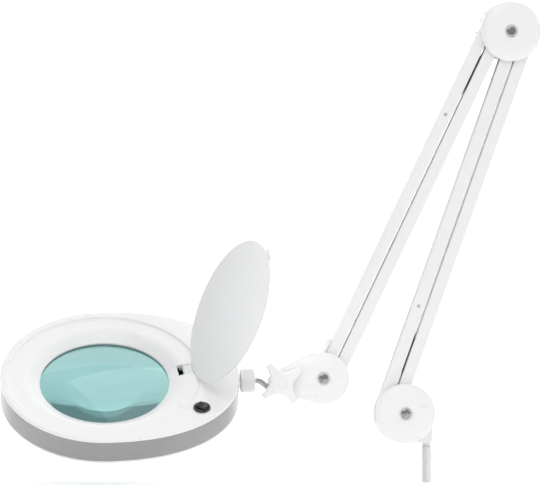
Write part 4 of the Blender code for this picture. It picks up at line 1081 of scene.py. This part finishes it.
def build_base_bracket():
    """Folded bracket with a solid foot for the post."""
    centre = housing_place("base")
    place = Matrix.Translation(centre)
    bracket = plates(circle(sizes().disc_radius - PLATE_INSET, 128), "base_bracket", place)
    post = middle("mounting_post") - centre
    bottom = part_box("base_bracket")[0][2] - centre.z
    foot = block((post.x - 0.0110, -0.0090, bottom), (post.x + 0.0050, 0.0090, -0.0060))
    bmesh.ops.bevel(foot, geom=list(foot.edges), offset=0.0012, segments=4, affect="EDGES")
    cut(bracket, foot, place, "UNION")
    cut(bracket, block((-0.04, -SLOT_HALF, -0.0080), (0.04, SLOT_HALF, 0.04)), place)
    bevel(bracket, PRESSED_EDGE, 2)
    drill(bracket, BRACKET_PIN_HOLE, *pins_of("base_pivot_pin_a", "base_pivot_pin_b"))
    drill(bracket, SCREW_HOLE, centre)
    spigot = turned(((0.00365, -0.0310), (0.00365, -0.0177)), 40)
    cut(bracket, spigot, place @ Matrix.Translation((post.x, 0.0, 0.0)))
    finish_piece(bracket, "white_powder_coat", "base", "base_bracket")


def build_elbow_hub():
    """Folded hub between the two arms."""
    centre = housing_place("elbow")
    place = Matrix.Translation(centre)
    hub = plates(circle(sizes().disc_radius - PLATE_INSET, 128), "elbow_hub", place)
    cut(hub, block((-0.04, -SLOT_HALF, -0.04), (0.04, SLOT_HALF, 0.0185)), place)
    bevel(hub, PRESSED_EDGE, 2)
    drill(hub, BRACKET_PIN_HOLE, *pins_of("elbow_lower_pin_a", "elbow_lower_pin_b", "elbow_upper_pin_a",
                                "elbow_upper_pin_b"))
    drill(hub, SCREW_HOLE, centre)
    finish_piece(hub, "white_powder_coat", "elbow", "elbow_hub")


def build_front_bracket():
    """Pear-shaped bracket with a fork for the neck and a stop strap along the arm."""
    centre = front_place()
    place = Matrix.Translation(centre)
    bracket = plates(pear_outline(PLATE_INSET), "front_bracket", place)
    cut(bracket, block((-0.0125, -SLOT_HALF, -0.05), (0.05, SLOT_HALF, 0.05)), place)
    cut(bracket, block((-0.08, -SLOT_HALF, -0.05), (-0.0265, SLOT_HALF, 0.05)), place)
    arm = joint_point("upper_arm") - joint_point("front_level")
    lean = 90.0 - math.degrees(math.atan2(arm.z, arm.x))
    strap = block((-0.0119, -0.0120, 0.0150), (-0.0084, 0.0120, 0.0370))
    tips = [edge for edge in strap.edges if min(vert.co.z for vert in edge.verts) > 0.02]
    bmesh.ops.bevel(strap, geom=tips, offset=0.0008, segments=4, affect="EDGES")
    cut(bracket, strap, place @ about_y(lean), "UNION")
    bevel(bracket, PRESSED_EDGE, 2)
    drill(bracket, BRACKET_PIN_HOLE, *pins_of("front_pivot_pin_a", "front_pivot_pin_b"))
    drill(bracket, SCREW_HOLE, centre, joint_point("head_tilt"))
    finish_piece(bracket, "white_powder_coat", "front", "front_bracket")


# ---------------------------------------------------------------- arms
def spring_window(start, end, spring, web):
    """Where, along a bar, a spring passes the bar's web."""
    place = arm_frame(start, end).inverted()
    first, last = place @ spring[0], place @ spring[1]
    half = sizes().bar_width / 2
    reach = SPRING_RADIUS + 2 * GAP
    low, high = sorted((web * half, web * (half - BAR_WALL)))
    run = (last.z - first.z) / (last.x - first.x)
    ends = sorted(first.z + run * (x - first.x) for x in (low - reach, high + reach))
    return ends


def build_bar(node, start, end, web, spring, spring_pin=None, window=True):
    """Folded U-channel with rounded ends, soft folds and drilled pivots."""
    size = sizes()
    place = arm_frame(start, end)
    length = (end - start).length
    half = size.bar_width / 2
    outline = arc(half, 0.0, 180.0, 32, (0.0, length)) + arc(half, 180.0, 360.0, 32)
    bar = mesh_object(node + "_pressing", prism(outline, -size.bar_depth / 2, size.bar_depth / 2),
                      place)
    bevel(bar, 0.0011, 4, 60.0)
    inner = size.bar_depth / 2 - BAR_WALL
    floor = web * (half - BAR_WALL)
    mouth = -web * (half + 0.003)
    channel = block((min(floor, mouth), -inner, -0.02), (max(floor, mouth), inner, length + 0.02))
    folds = [edge for edge in channel.edges
             if all(abs(vert.co.x - floor) < 1e-6 for vert in edge.verts)
             and abs(edge.verts[0].co.z - edge.verts[1].co.z) > 0.1]
    bmesh.ops.bevel(channel, geom=folds, offset=0.0007, segments=3, affect="EDGES")
    cut(bar, channel, place)
    if window:
        low, high = spring_window(start, end, spring, web)
        sides = sorted((floor, web * (half + 0.001)))
        slot = block((sides[0], -WINDOW_HALF, low), (sides[1], WINDOW_HALF, high))
        ends = [edge for edge in slot.edges if abs(edge.verts[0].co.x - edge.verts[1].co.x) > 1e-4]
        bmesh.ops.bevel(slot, geom=ends, offset=0.0034, segments=8, affect="EDGES")
        cut(bar, slot, place)
    drill(bar, BAR_PIN_HOLE, start, end)
    if spring_pin:
        drill(bar, SPRING_PIN_HOLE, *pins_of(spring_pin))
    finish_piece(bar, "white_powder_coat", node, node, sharp=28.0)


def build_rivet(name, body, place, outward):
    """Small domed rivet head on a bar's side."""
    profile = [(0.0011, -0.0002), (0.0011, 0.0003), (0.0009, 0.0007), (0.0005, 0.0009),
               (0.0001, 0.00095)]
    turn = outward.to_track_quat("Z", "Y").to_matrix().to_4x4()
    rivet = mesh_object(name, turned(profile, 24), Matrix.Translation(place) @ turn)
    finish_piece(rivet, "oiled_spring_steel", body, sharp=60.0)


def build_spring(node, body, start, pin_node):
    """Close-wound tension spring with a straight hook at each end."""
    pin = pins_of(pin_node)[0]
    heading = pin - start
    length = heading.length
    place = arm_frame(start, pin)
    hook = HOOK_LENGTH
    coil = length - hook - 0.0178
    turns = float(sizes().coil_turns * 2)
    group, inputs = coil_group(node + "_coil", turns, SPRING_RADIUS - SPRING_WIRE, coil,
                               SPRING_WIRE, "oiled_spring_steel")
    piece = grown(node + "_helix", group, inputs, place @ Matrix.Translation((0.0, 0.0, hook)))
    finish_piece(piece, "oiled_spring_steel", body, node, sharp=60.0)
    for number, (low, high) in enumerate(((0.0030, hook + 0.0006),
                                          (hook + coil - 0.0006, length - 0.0022))):
        path = [(0.0, 0.0, low), (0.0, 0.0, (low + high) / 2), (0.0, 0.0, high - 0.0004),
                (0.0012, 0.0, high)]
        if number:
            path = [(0.0012, 0.0, low), (0.0, 0.0, low + 0.0004), (0.0, 0.0, high)]
        link = mesh_object("%s_hook_%d" % (node, number + 1), tube(path, 0.0006, 16), place)
        finish_piece(link, "oiled_spring_steel", body, sharp=60.0)


def tube(path, radius, steps=24):
    """Round bar along points that keep to the XZ plane."""
    loops = []
    for index, point in enumerate(path):
        before = Vector(path[max(index - 1, 0)])
        after = Vector(path[min(index + 1, len(path) - 1)])
        heading = (after - before).normalized()
        side = Vector((heading.z, 0.0, -heading.x))
        loops.append([Vector(point) + side * x + Vector((0.0, y, 0.0))
                      for x, y in circle(radius, steps)])
    return loft(loops)


# ---------------------------------------------------------------- star knob and neck
def relaxed(points, rounds=3):
    """Closed outline with its corners cut again and again, which rounds them."""
    for _ in range(rounds):
        cornerless = []
        for index, point in enumerate(points):
            after = points[(index + 1) % len(points)]
            cornerless.append((point[0] * 0.75 + after[0] * 0.25, point[1] * 0.75 + after[1] * 0.25))
            cornerless.append((point[0] * 0.25 + after[0] * 0.75, point[1] * 0.25 + after[1] * 0.75))
        points = cornerless
    return points


def star_outline(inset):
    """Four blunt lobes joined by hollow flanks."""
    half, tip, flank = 0.0032 - inset, 0.0221 - inset, 0.0105 - inset
    points = []
    for lobe in range(4):
        turn = math.radians(36.0 + 90.0 * lobe)
        local = [(flank + 0.0040, -half - 0.0012), (tip - 0.0030, -half), (tip - 0.0002, -half),
                 (tip, 0.0), (tip - 0.0002, half), (tip - 0.0030, half),
                 (flank + 0.0040, half + 0.0012)]
        for x, z in local:
            points.append((x * math.cos(turn) - z * math.sin(turn),
                           x * math.sin(turn) + z * math.cos(turn)))
        for spread in (30.0, 45.0, 60.0):
            valley = turn + math.radians(spread)
            reach = flank + (0.0008 if spread != 45.0 else 0.0)
            points.append((reach * math.cos(valley), reach * math.sin(valley)))
    return relaxed(points)


def build_knob():
    """Star knob with a domed face and a turned cup, its stud and the nut behind."""
    place = Matrix.Translation(joint_point("knob_turn"))
    low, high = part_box("star_knob")
    back, face = high[1], low[1]
    rows = [(0.0007, back), (0.0, back - 0.0007), (0.0, face + 0.0030)]
    for step in range(1, 9):
        angle = math.radians(90.0 * step / 8.0)
        rows.append((0.0022 * (1.0 - math.cos(angle)), face + 0.0030 - 0.0026 * math.sin(angle)))
    rows.append((0.0026, face + 0.0003))
    loops = [[(x, level, z) for x, z in star_outline(inset)] for inset, level in rows]
    knob = mesh_object("star_knob_moulding", loft(loops), place)
    cup = [(0.0060, -face + 0.0010), (0.0050, -face - 0.0004), (0.0047, -face - 0.0008),
           (0.0044, -face - 0.0014), (0.0004, -face - 0.0016)]
    cut(knob, along_y(cup[::-1], -1, 64), place)
    boss = [(0.0052, -back + 0.0060), (0.0052, -face - 0.0007), (0.0049, -face - 0.0004),
            (0.0044, -face - 0.0004), (0.0041, -face - 0.0008), (0.0040, -face - 0.0014),
            (0.0004, -face - 0.0015)]
    cut(knob, along_y(boss, -1, 64), place, "UNION")
    socket = (back + face) / 2
    cut(knob, prism(circle(0.00315, 40), socket, back + 0.001), place)
    finish_piece(knob, "satin_white_abs", "knob", "star_knob", sharp=45.0)
    build_pin("knob_stud", "knob")
    build_nut("knob_nut", "front", 0.00315)


def build_neck():
    """Eye on the stud and the bent rod that carries the head."""
    pivot = joint_point("head_tilt")
    place = Matrix.Translation(pivot)
    half = 0.0103
    eye = [(0.0079, -half), (0.0085, -half + 0.0006), (0.0085, half - 0.0006), (0.0079, half)]
    neck = mesh_object("neck_rod_forging", along_y(eye, 1, 96), place)
    ends = [neck_point(sizes().neck_reach - 0.0120) - pivot, neck_point(0.1435) - pivot]
    path = [tuple(ends[0]), tuple(ends[1])]
    path += [tuple(ends[1] + Vector((0.0050, 0.0, -0.0012))), (-0.0120, 0.0, -0.0045),
             (-0.0040, 0.0, -0.0040)]
    for _ in range(3):
        rounded = [path[0]]
        for before, after in zip(path, path[1:]):
            rounded += [tuple(Vector(before).lerp(Vector(after), 0.25)),
                        tuple(Vector(before).lerp(Vector(after), 0.75))]
        path = rounded + [path[-1]]
    cut(neck, tube(path, 0.00275, 40), place, "UNION")
    cut(neck, prism(circle(0.00315, 48), -half - 0.001, half + 0.001), place)
    finish_piece(neck, "polished_chrome", "neck", "neck_rod", sharp=40.0)


def neck_point(distance):
    """Point on the swivel axis, measured from the lens's axis."""
    return head_frame() @ Vector((distance, 0.0, -NECK_DROP))


def ribbed(size, depth, level):
    """Loop at a height along a collar, with grooves of a depth between its ribs."""
    ribs = sizes().ribs
    steps = ribs * 6
    loop = []
    for index in range(steps):
        angle = 2.0 * math.pi * index / steps
        wave = 0.5 - 0.5 * math.cos(angle * ribs)
        reach = size - depth * wave ** 2
        loop.append((reach * math.cos(angle), reach * math.sin(angle), level))
    return loop


def build_collar():
    """Grip collar: fine ribs between plain chamfered ends."""
    radius, length, start = 0.0113, 0.0140, 0.1285
    place = head_frame() @ Matrix.Translation((start, 0.0, -NECK_DROP)) @ about_y(90.0)
    loops = [
        ribbed(radius - 0.0013, 0.0, 0.0),
        ribbed(radius - 0.0006, 0.0, 0.0003),
        ribbed(radius - 0.0003, 0.0, 0.0008),
        ribbed(radius - 0.0003, 0.0, 0.0016),
        ribbed(radius, 0.00055, 0.0021),
        ribbed(radius, 0.00055, length - 0.0021),
        ribbed(radius - 0.0003, 0.0, length - 0.0016),
        ribbed(radius - 0.0004, 0.0, length - 0.0006),
        ribbed(radius - 0.0014, 0.0, length - 0.0001),
        ribbed(radius - 0.0040, 0.0, length),
        ribbed(0.0034, 0.0, length),
        ribbed(0.0031, 0.0, length - 0.0003),
        ribbed(0.0031, 0.0, 0.0113),
        ribbed(0.0073, 0.0, 0.0113),
        ribbed(0.0073, 0.0, 0.0),
    ]
    collar = mesh_object("neck_collar_moulding", loft(loops, ring=True), place)
    finish_piece(collar, "satin_white_abs", "head", "neck_collar", sharp=40.0)


def build_socket():
    """Plated block inside the head with the tube that the rod swivels in."""
    head = head_frame()
    low, high = -0.0230, -0.0049
    socket = mesh_object("neck_socket_casting", block((0.1062, -0.0085, low),
                                                      (0.1240, 0.0085, high)), head)
    bevel(socket, 0.0010, 3)
    axis = head @ Matrix.Translation((0.0, 0.0, -NECK_DROP)) @ about_y(90.0)
    profile = [(0.0070, 0.1220), (0.0070, 0.1391), (0.0066, 0.1395)]
    cut(socket, turned(profile, 64), axis, "UNION")
    cut(socket, turned(((0.0029, 0.1146), (0.0029, 0.1500)), 48), axis)
    finish_piece(socket, "satin_nickel", "head", "neck_socket")


def build_post():
    """Turned mounting post with a chamfered foot, a collar and a spigot."""
    low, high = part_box("mounting_post")
    centre = middle("mounting_post")
    radius = (high[0] - low[0]) / 2
    profile = [(radius - 0.0008, low[2]), (radius, low[2] + 0.0008), (radius, 0.0330)]
    profile += fillet((radius, 0.0330), (radius, 0.0335), (0.0040, 0.0335), 0.0004, 3)
    profile += [(0.0041, 0.0336), (0.0047, 0.0341), (0.0047, 0.0365), (0.0035, 0.0365),
                (0.0035, high[2] - 0.0004), (0.0031, high[2])]
    post = mesh_object("mounting_post_turning", turned(profile, 96),
                       Matrix.Translation((centre.x, centre.y, 0.0)))
    finish_piece(post, "satin_nickel", "base", "mounting_post", sharp=30.0)


def coat_frame_nodes():
    """Give every CAD node the finish of its slot, for the pieces that stay as they are."""
    for node in frame["nodes"].values():
        for index, coat in enumerate(node.data.materials):
            finish = FINISH_OF_SLOT[coat.name.split(".")[0]]
            node.data.materials[index] = bpy.data.materials[finish]


# ---------------------------------------------------------------- stage
def add_light(name, place, target, size, energy, colour=(1.0, 1.0, 1.0)):
    """Area light aimed at a point."""
    light = bpy.data.lights.new(name, "AREA")
    light.shape = "RECTANGLE"
    light.size, light.size_y = size
    light.energy = energy
    light.color = colour
    lamp = bpy.data.objects.new(name, light)
    lamp.location = place
    lamp.rotation_euler = (Vector(target) - Vector(place)).to_track_quat("-Z", "Y").to_euler()
    bpy.context.scene.collection.objects.link(lamp)
    return lamp


def build_sweep():
    """Paper sweep: a floor just under the post that curves up behind into a backdrop, with painted
    light: the paper glows more towards the back.
    """
    section = [(-2.5, 0.0), (0.55, 0.0)]
    section += arc(0.5, -90.0, 0.0, 16, (0.6, 0.5))
    section += [(1.1, 2.6)]
    shape = bmesh.new()
    rows = [[shape.verts.new((x, y, z - 0.0005)) for y, z in section] for x in (-2.5, 2.5)]
    for index in range(len(section) - 1):
        shape.faces.new((rows[0][index], rows[1][index], rows[1][index + 1], rows[0][index + 1]))
    sweep = mesh_object("paper_sweep", shape, Matrix.Identity(4))
    material, tree, shader, vector = new_material("matte_paper", (0.985, 0.985, 0.985), 0.9)
    add_bump(tree, shader, add_noise(tree, vector, 3.0, 4.0), 0.02, 0.2)
    split = add_node(tree, "ShaderNodeSeparateXYZ")
    tree.links.new(vector, split.inputs["Vector"])
    # Painted light: the paper's own glow rises from front to back, standing in for a lamp on the
    # backdrop.
    painted_backdrop_light = add_slope(tree, split.outputs["Y"], (0.15, 0.75), (0.10, 0.80))
    shader.inputs["Emission Color"].default_value = (1.0, 1.0, 1.0, 1.0)
    tree.links.new(painted_backdrop_light, shader.inputs["Emission Strength"])
    sweep.data.materials.append(material)
    sweep.data.shade_smooth()
    return sweep


def build_air():
    """Studio surround: bright above, dimmer below and on the left."""
    world = bpy.data.worlds.new("studio_air")
    world.use_nodes = True
    tree = world.node_tree
    sky = tree.nodes["Background"]
    sky.inputs["Color"].default_value = (1.0, 1.0, 1.0, 1.0)
    coordinates = add_node(tree, "ShaderNodeTexCoord")
    split = add_node(tree, "ShaderNodeSeparateXYZ")
    tree.links.new(coordinates.outputs["Generated"], split.inputs["Vector"])
    height = add_slope(tree, split.outputs["Z"], (-0.4, 0.8), (0.32, 0.76))
    left = add_slope(tree, split.outputs["X"], (-0.9, -0.1), (0.45, 1.0))
    product = add_node(tree, "ShaderNodeMath", operation="MULTIPLY")
    tree.links.new(height, product.inputs[0])
    tree.links.new(left, product.inputs[1])
    tree.links.new(product.outputs["Value"], sky.inputs["Strength"])
    bpy.context.scene.world = world


def build_stage():
    """Sweep, softboxes, a pale sky and the camera."""
    low, high = Vector(CAD_BOX[0]), Vector(CAD_BOX[1])
    centre = (low + high) / 2
    key = add_light("key_softbox", (-0.5, -1.8, 1.5), centre, (1.2, 1.2), 11.0)
    fill = add_light("fill_softbox", (1.6, -1.5, 0.5), centre, (1.2, 1.6), 3.5)
    top = add_light("top_softbox", (0.1, 0.1, 2.0), centre, (1.4, 1.0), 4.0)
    build_sweep()
    build_air()
    scene = bpy.context.scene
    scene.view_settings.view_transform = "Standard"
    turn = math.radians(4.4)
    target = Vector((-0.1486, 0.0, 0.2266))
    forward = Vector((math.sin(turn), math.cos(turn), 0.0))
    data = bpy.data.cameras.new("studio_camera")
    data.sensor_width = 36.0
    data.lens = 422.8
    data.clip_end = 50.0
    camera = bpy.data.objects.new("studio_camera", data)
    camera.location = target - forward * 6.0
    camera.rotation_euler = forward.to_track_quat("-Z", "Y").to_euler()
    bpy.context.scene.collection.objects.link(camera)
    scene.camera = camera


# ---------------------------------------------------------------- operators
def build_optics():
    """Lens, its ring, the diffuser and the emitters."""
    build_lens()
    build_light()


def build_head():
    """Casing and its screws, with the neck's collar and socket."""
    build_top_shell()
    build_casing()
    build_shell_screws()
    build_collar()
    build_socket()


def build_base():
    """Bracket, post, caps, screw and pins of the base joint."""
    build_base_bracket()
    build_post()
    build_cap("base_cap_front", "base", disc_outline, "base")
    build_cap("base_cap_back", "base", disc_outline, "base")
    build_tension_screw("base", "base")
    build_pin("base_pivot_pin_a", "base")
    build_pin("base_pivot_pin_b", "base")


def build_elbow():
    """Hub, caps, screw and pins of the elbow."""
    build_elbow_hub()
    build_cap("elbow_cap_front", "elbow", disc_outline, "elbow")
    build_cap("elbow_cap_back", "elbow", disc_outline, "elbow")
    build_tension_screw("elbow", "elbow")
    for node in ("elbow_lower_pin_a", "elbow_lower_pin_b", "elbow_upper_pin_a",
                 "elbow_upper_pin_b"):
        build_pin(node, "elbow")


def build_front():
    """Bracket, caps, screw and pins of the front joint."""
    build_front_bracket()
    build_cap("front_cap_front", "front", pear_outline, "front", stud=True)
    build_cap("front_cap_back", "front", pear_outline, "front", stud=True)
    build_tension_screw("front", "front")
    build_pin("front_pivot_pin_a", "front")
    build_pin("front_pivot_pin_b", "front")


def build_arms():
    """Bars, springs and rivets of both arms."""
    lower = joint_point("elbow_level") - joint_point("lower_arm")
    upper = joint_point("upper_arm") - joint_point("front_level")
    lower_b = joint_point("lower_link")
    upper_b = joint_point("upper_link")
    lower_spring = (lower_b, pins_of("lower_spring_pin")[0])
    upper_spring = (upper_b, pins_of("upper_spring_pin")[0])
    build_bar("lower_bar_a", joint_point("lower_arm"), joint_point("elbow_level"), 1,
              lower_spring, "lower_spring_pin")
    build_bar("lower_bar_b", lower_b, lower_b + lower, -1, lower_spring)
    build_bar("upper_bar_a", joint_point("front_level"), joint_point("upper_arm"), -1,
              upper_spring, "upper_spring_pin", window=False)
    build_bar("upper_bar_b", upper_b - upper, upper_b, -1, upper_spring)
    build_spring("lower_spring", "lower_bar_a", lower_b, "lower_spring_pin")
    build_spring("upper_spring", "upper_bar_a", upper_b, "upper_spring_pin")
    side = sizes().bar_width / 2
    across = arm_frame(joint_point("front_level"), joint_point("upper_arm")).col[0].to_3d()
    place = joint_point("upper_arm") - upper.normalized() * 0.0164 - across * side
    build_rivet("upper_arm_rivet", "upper_bar_a", place, -across)
    across = arm_frame(joint_point("lower_arm"), joint_point("elbow_level")).col[0].to_3d()
    place = lower_b + lower - lower.normalized() * 0.0247 + across * side
    build_rivet("lower_arm_rivet", "lower_bar_b", place, across)
    build_pin("lower_spring_pin", "lower_bar_a")
    build_pin("upper_spring_pin", "upper_bar_a")


class LAMP_OT_materials(bpy.types.Operator):
    """Make every finish of the lamp and coat the frame's own pieces"""
    bl_idname = "lamp.materials"
    bl_label = "Materials"

    def execute(self, context):
        build_materials()
        coat_frame_nodes()
        return {"FINISHED"}


class LAMP_OT_head(bpy.types.Operator):
    """Build the head's shells, band, screws, collar and neck socket"""
    bl_idname = "lamp.head"
    bl_label = "Head casing"

    def execute(self, context):
        build_head()
        return {"FINISHED"}


class LAMP_OT_optics(bpy.types.Operator):
    """Build the lens, its retaining ring and the ring light"""
    bl_idname = "lamp.optics"
    bl_label = "Lens and ring light"

    def execute(self, context):
        build_optics()
        return {"FINISHED"}


class LAMP_OT_cover(bpy.types.Operator):
    """Build the hinged lens cover, swung open"""
    bl_idname = "lamp.cover"
    bl_label = "Lens cover"

    def execute(self, context):
        build_cover()
        return {"FINISHED"}


class LAMP_OT_switch(bpy.types.Operator):
    """Build the switch's bezel and rocker"""
    bl_idname = "lamp.switch"
    bl_label = "Switch"

    def execute(self, context):
        build_switch()
        return {"FINISHED"}


class LAMP_OT_neck(bpy.types.Operator):
    """Build the neck rod and the star knob that clamps it"""
    bl_idname = "lamp.neck"
    bl_label = "Neck and star knob"

    def execute(self, context):
        build_neck()
        build_knob()
        return {"FINISHED"}


class LAMP_OT_arms(bpy.types.Operator):
    """Build the four arm bars, the springs and their pins"""
    bl_idname = "lamp.arms"
    bl_label = "Arms and springs"

    def execute(self, context):
        build_arms()
        return {"FINISHED"}


class LAMP_OT_base(bpy.types.Operator):
    """Build the base joint and the mounting post"""
    bl_idname = "lamp.base"
    bl_label = "Base joint and post"

    def execute(self, context):
        build_base()
        return {"FINISHED"}


class LAMP_OT_elbow(bpy.types.Operator):
    """Build the elbow joint between the two arms"""
    bl_idname = "lamp.elbow"
    bl_label = "Elbow joint"

    def execute(self, context):
        build_elbow()
        return {"FINISHED"}


class LAMP_OT_front(bpy.types.Operator):
    """Build the front joint that carries the head"""
    bl_idname = "lamp.front"
    bl_label = "Front joint"

    def execute(self, context):
        build_front()
        return {"FINISHED"}


class LAMP_OT_stage(bpy.types.Operator):
    """Build the paper sweep, the lights and the camera"""
    bl_idname = "lamp.stage"
    bl_label = "Stage"

    def execute(self, context):
        build_stage()
        return {"FINISHED"}


STEPS = (LAMP_OT_materials, LAMP_OT_base, LAMP_OT_arms, LAMP_OT_elbow, LAMP_OT_front,
         LAMP_OT_neck, LAMP_OT_head, LAMP_OT_optics, LAMP_OT_cover, LAMP_OT_switch,
         LAMP_OT_stage)


class LAMP_PT_build(bpy.types.Panel):
    """Sidebar panel with the lamp's sizes, colours and build steps"""
    bl_idname = "LAMP_PT_build"
    bl_label = "Magnifying lamp"
    bl_space_type = "VIEW_3D"
    bl_region_type = "UI"
    bl_category = "Lamp"

    def draw(self, context):
        layout = self.layout
        for settings in (context.scene.lamp_sizes, context.scene.lamp_colours):
            for name in settings.bl_rna.properties.keys():
                if name not in ("rna_type", "name"):
                    layout.prop(settings, name)
        for step in STEPS:
            layout.operator(step.bl_idname)


CLASSES = (LampSizes, LampColours, *STEPS, LAMP_PT_build)


def register():
    for cls in CLASSES:
        bpy.utils.register_class(cls)
    bpy.types.Scene.lamp_sizes = PointerProperty(type=LampSizes)
    bpy.types.Scene.lamp_colours = PointerProperty(type=LampColours)


def unregister():
    del bpy.types.Scene.lamp_colours
    del bpy.types.Scene.lamp_sizes
    for cls in reversed(CLASSES):
        bpy.utils.unregister_class(cls)


def main():
    """Register the add-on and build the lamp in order."""
    register()
    for step in STEPS:
        group, action = step.bl_idname.split(".")
        result = getattr(getattr(bpy.ops, group), action)()
        if result != {"FINISHED"}:
            raise RuntimeError(step.bl_idname + " did not finish")
    bpy.context.view_layer.update()


if __name__ == "__main__":
    main()
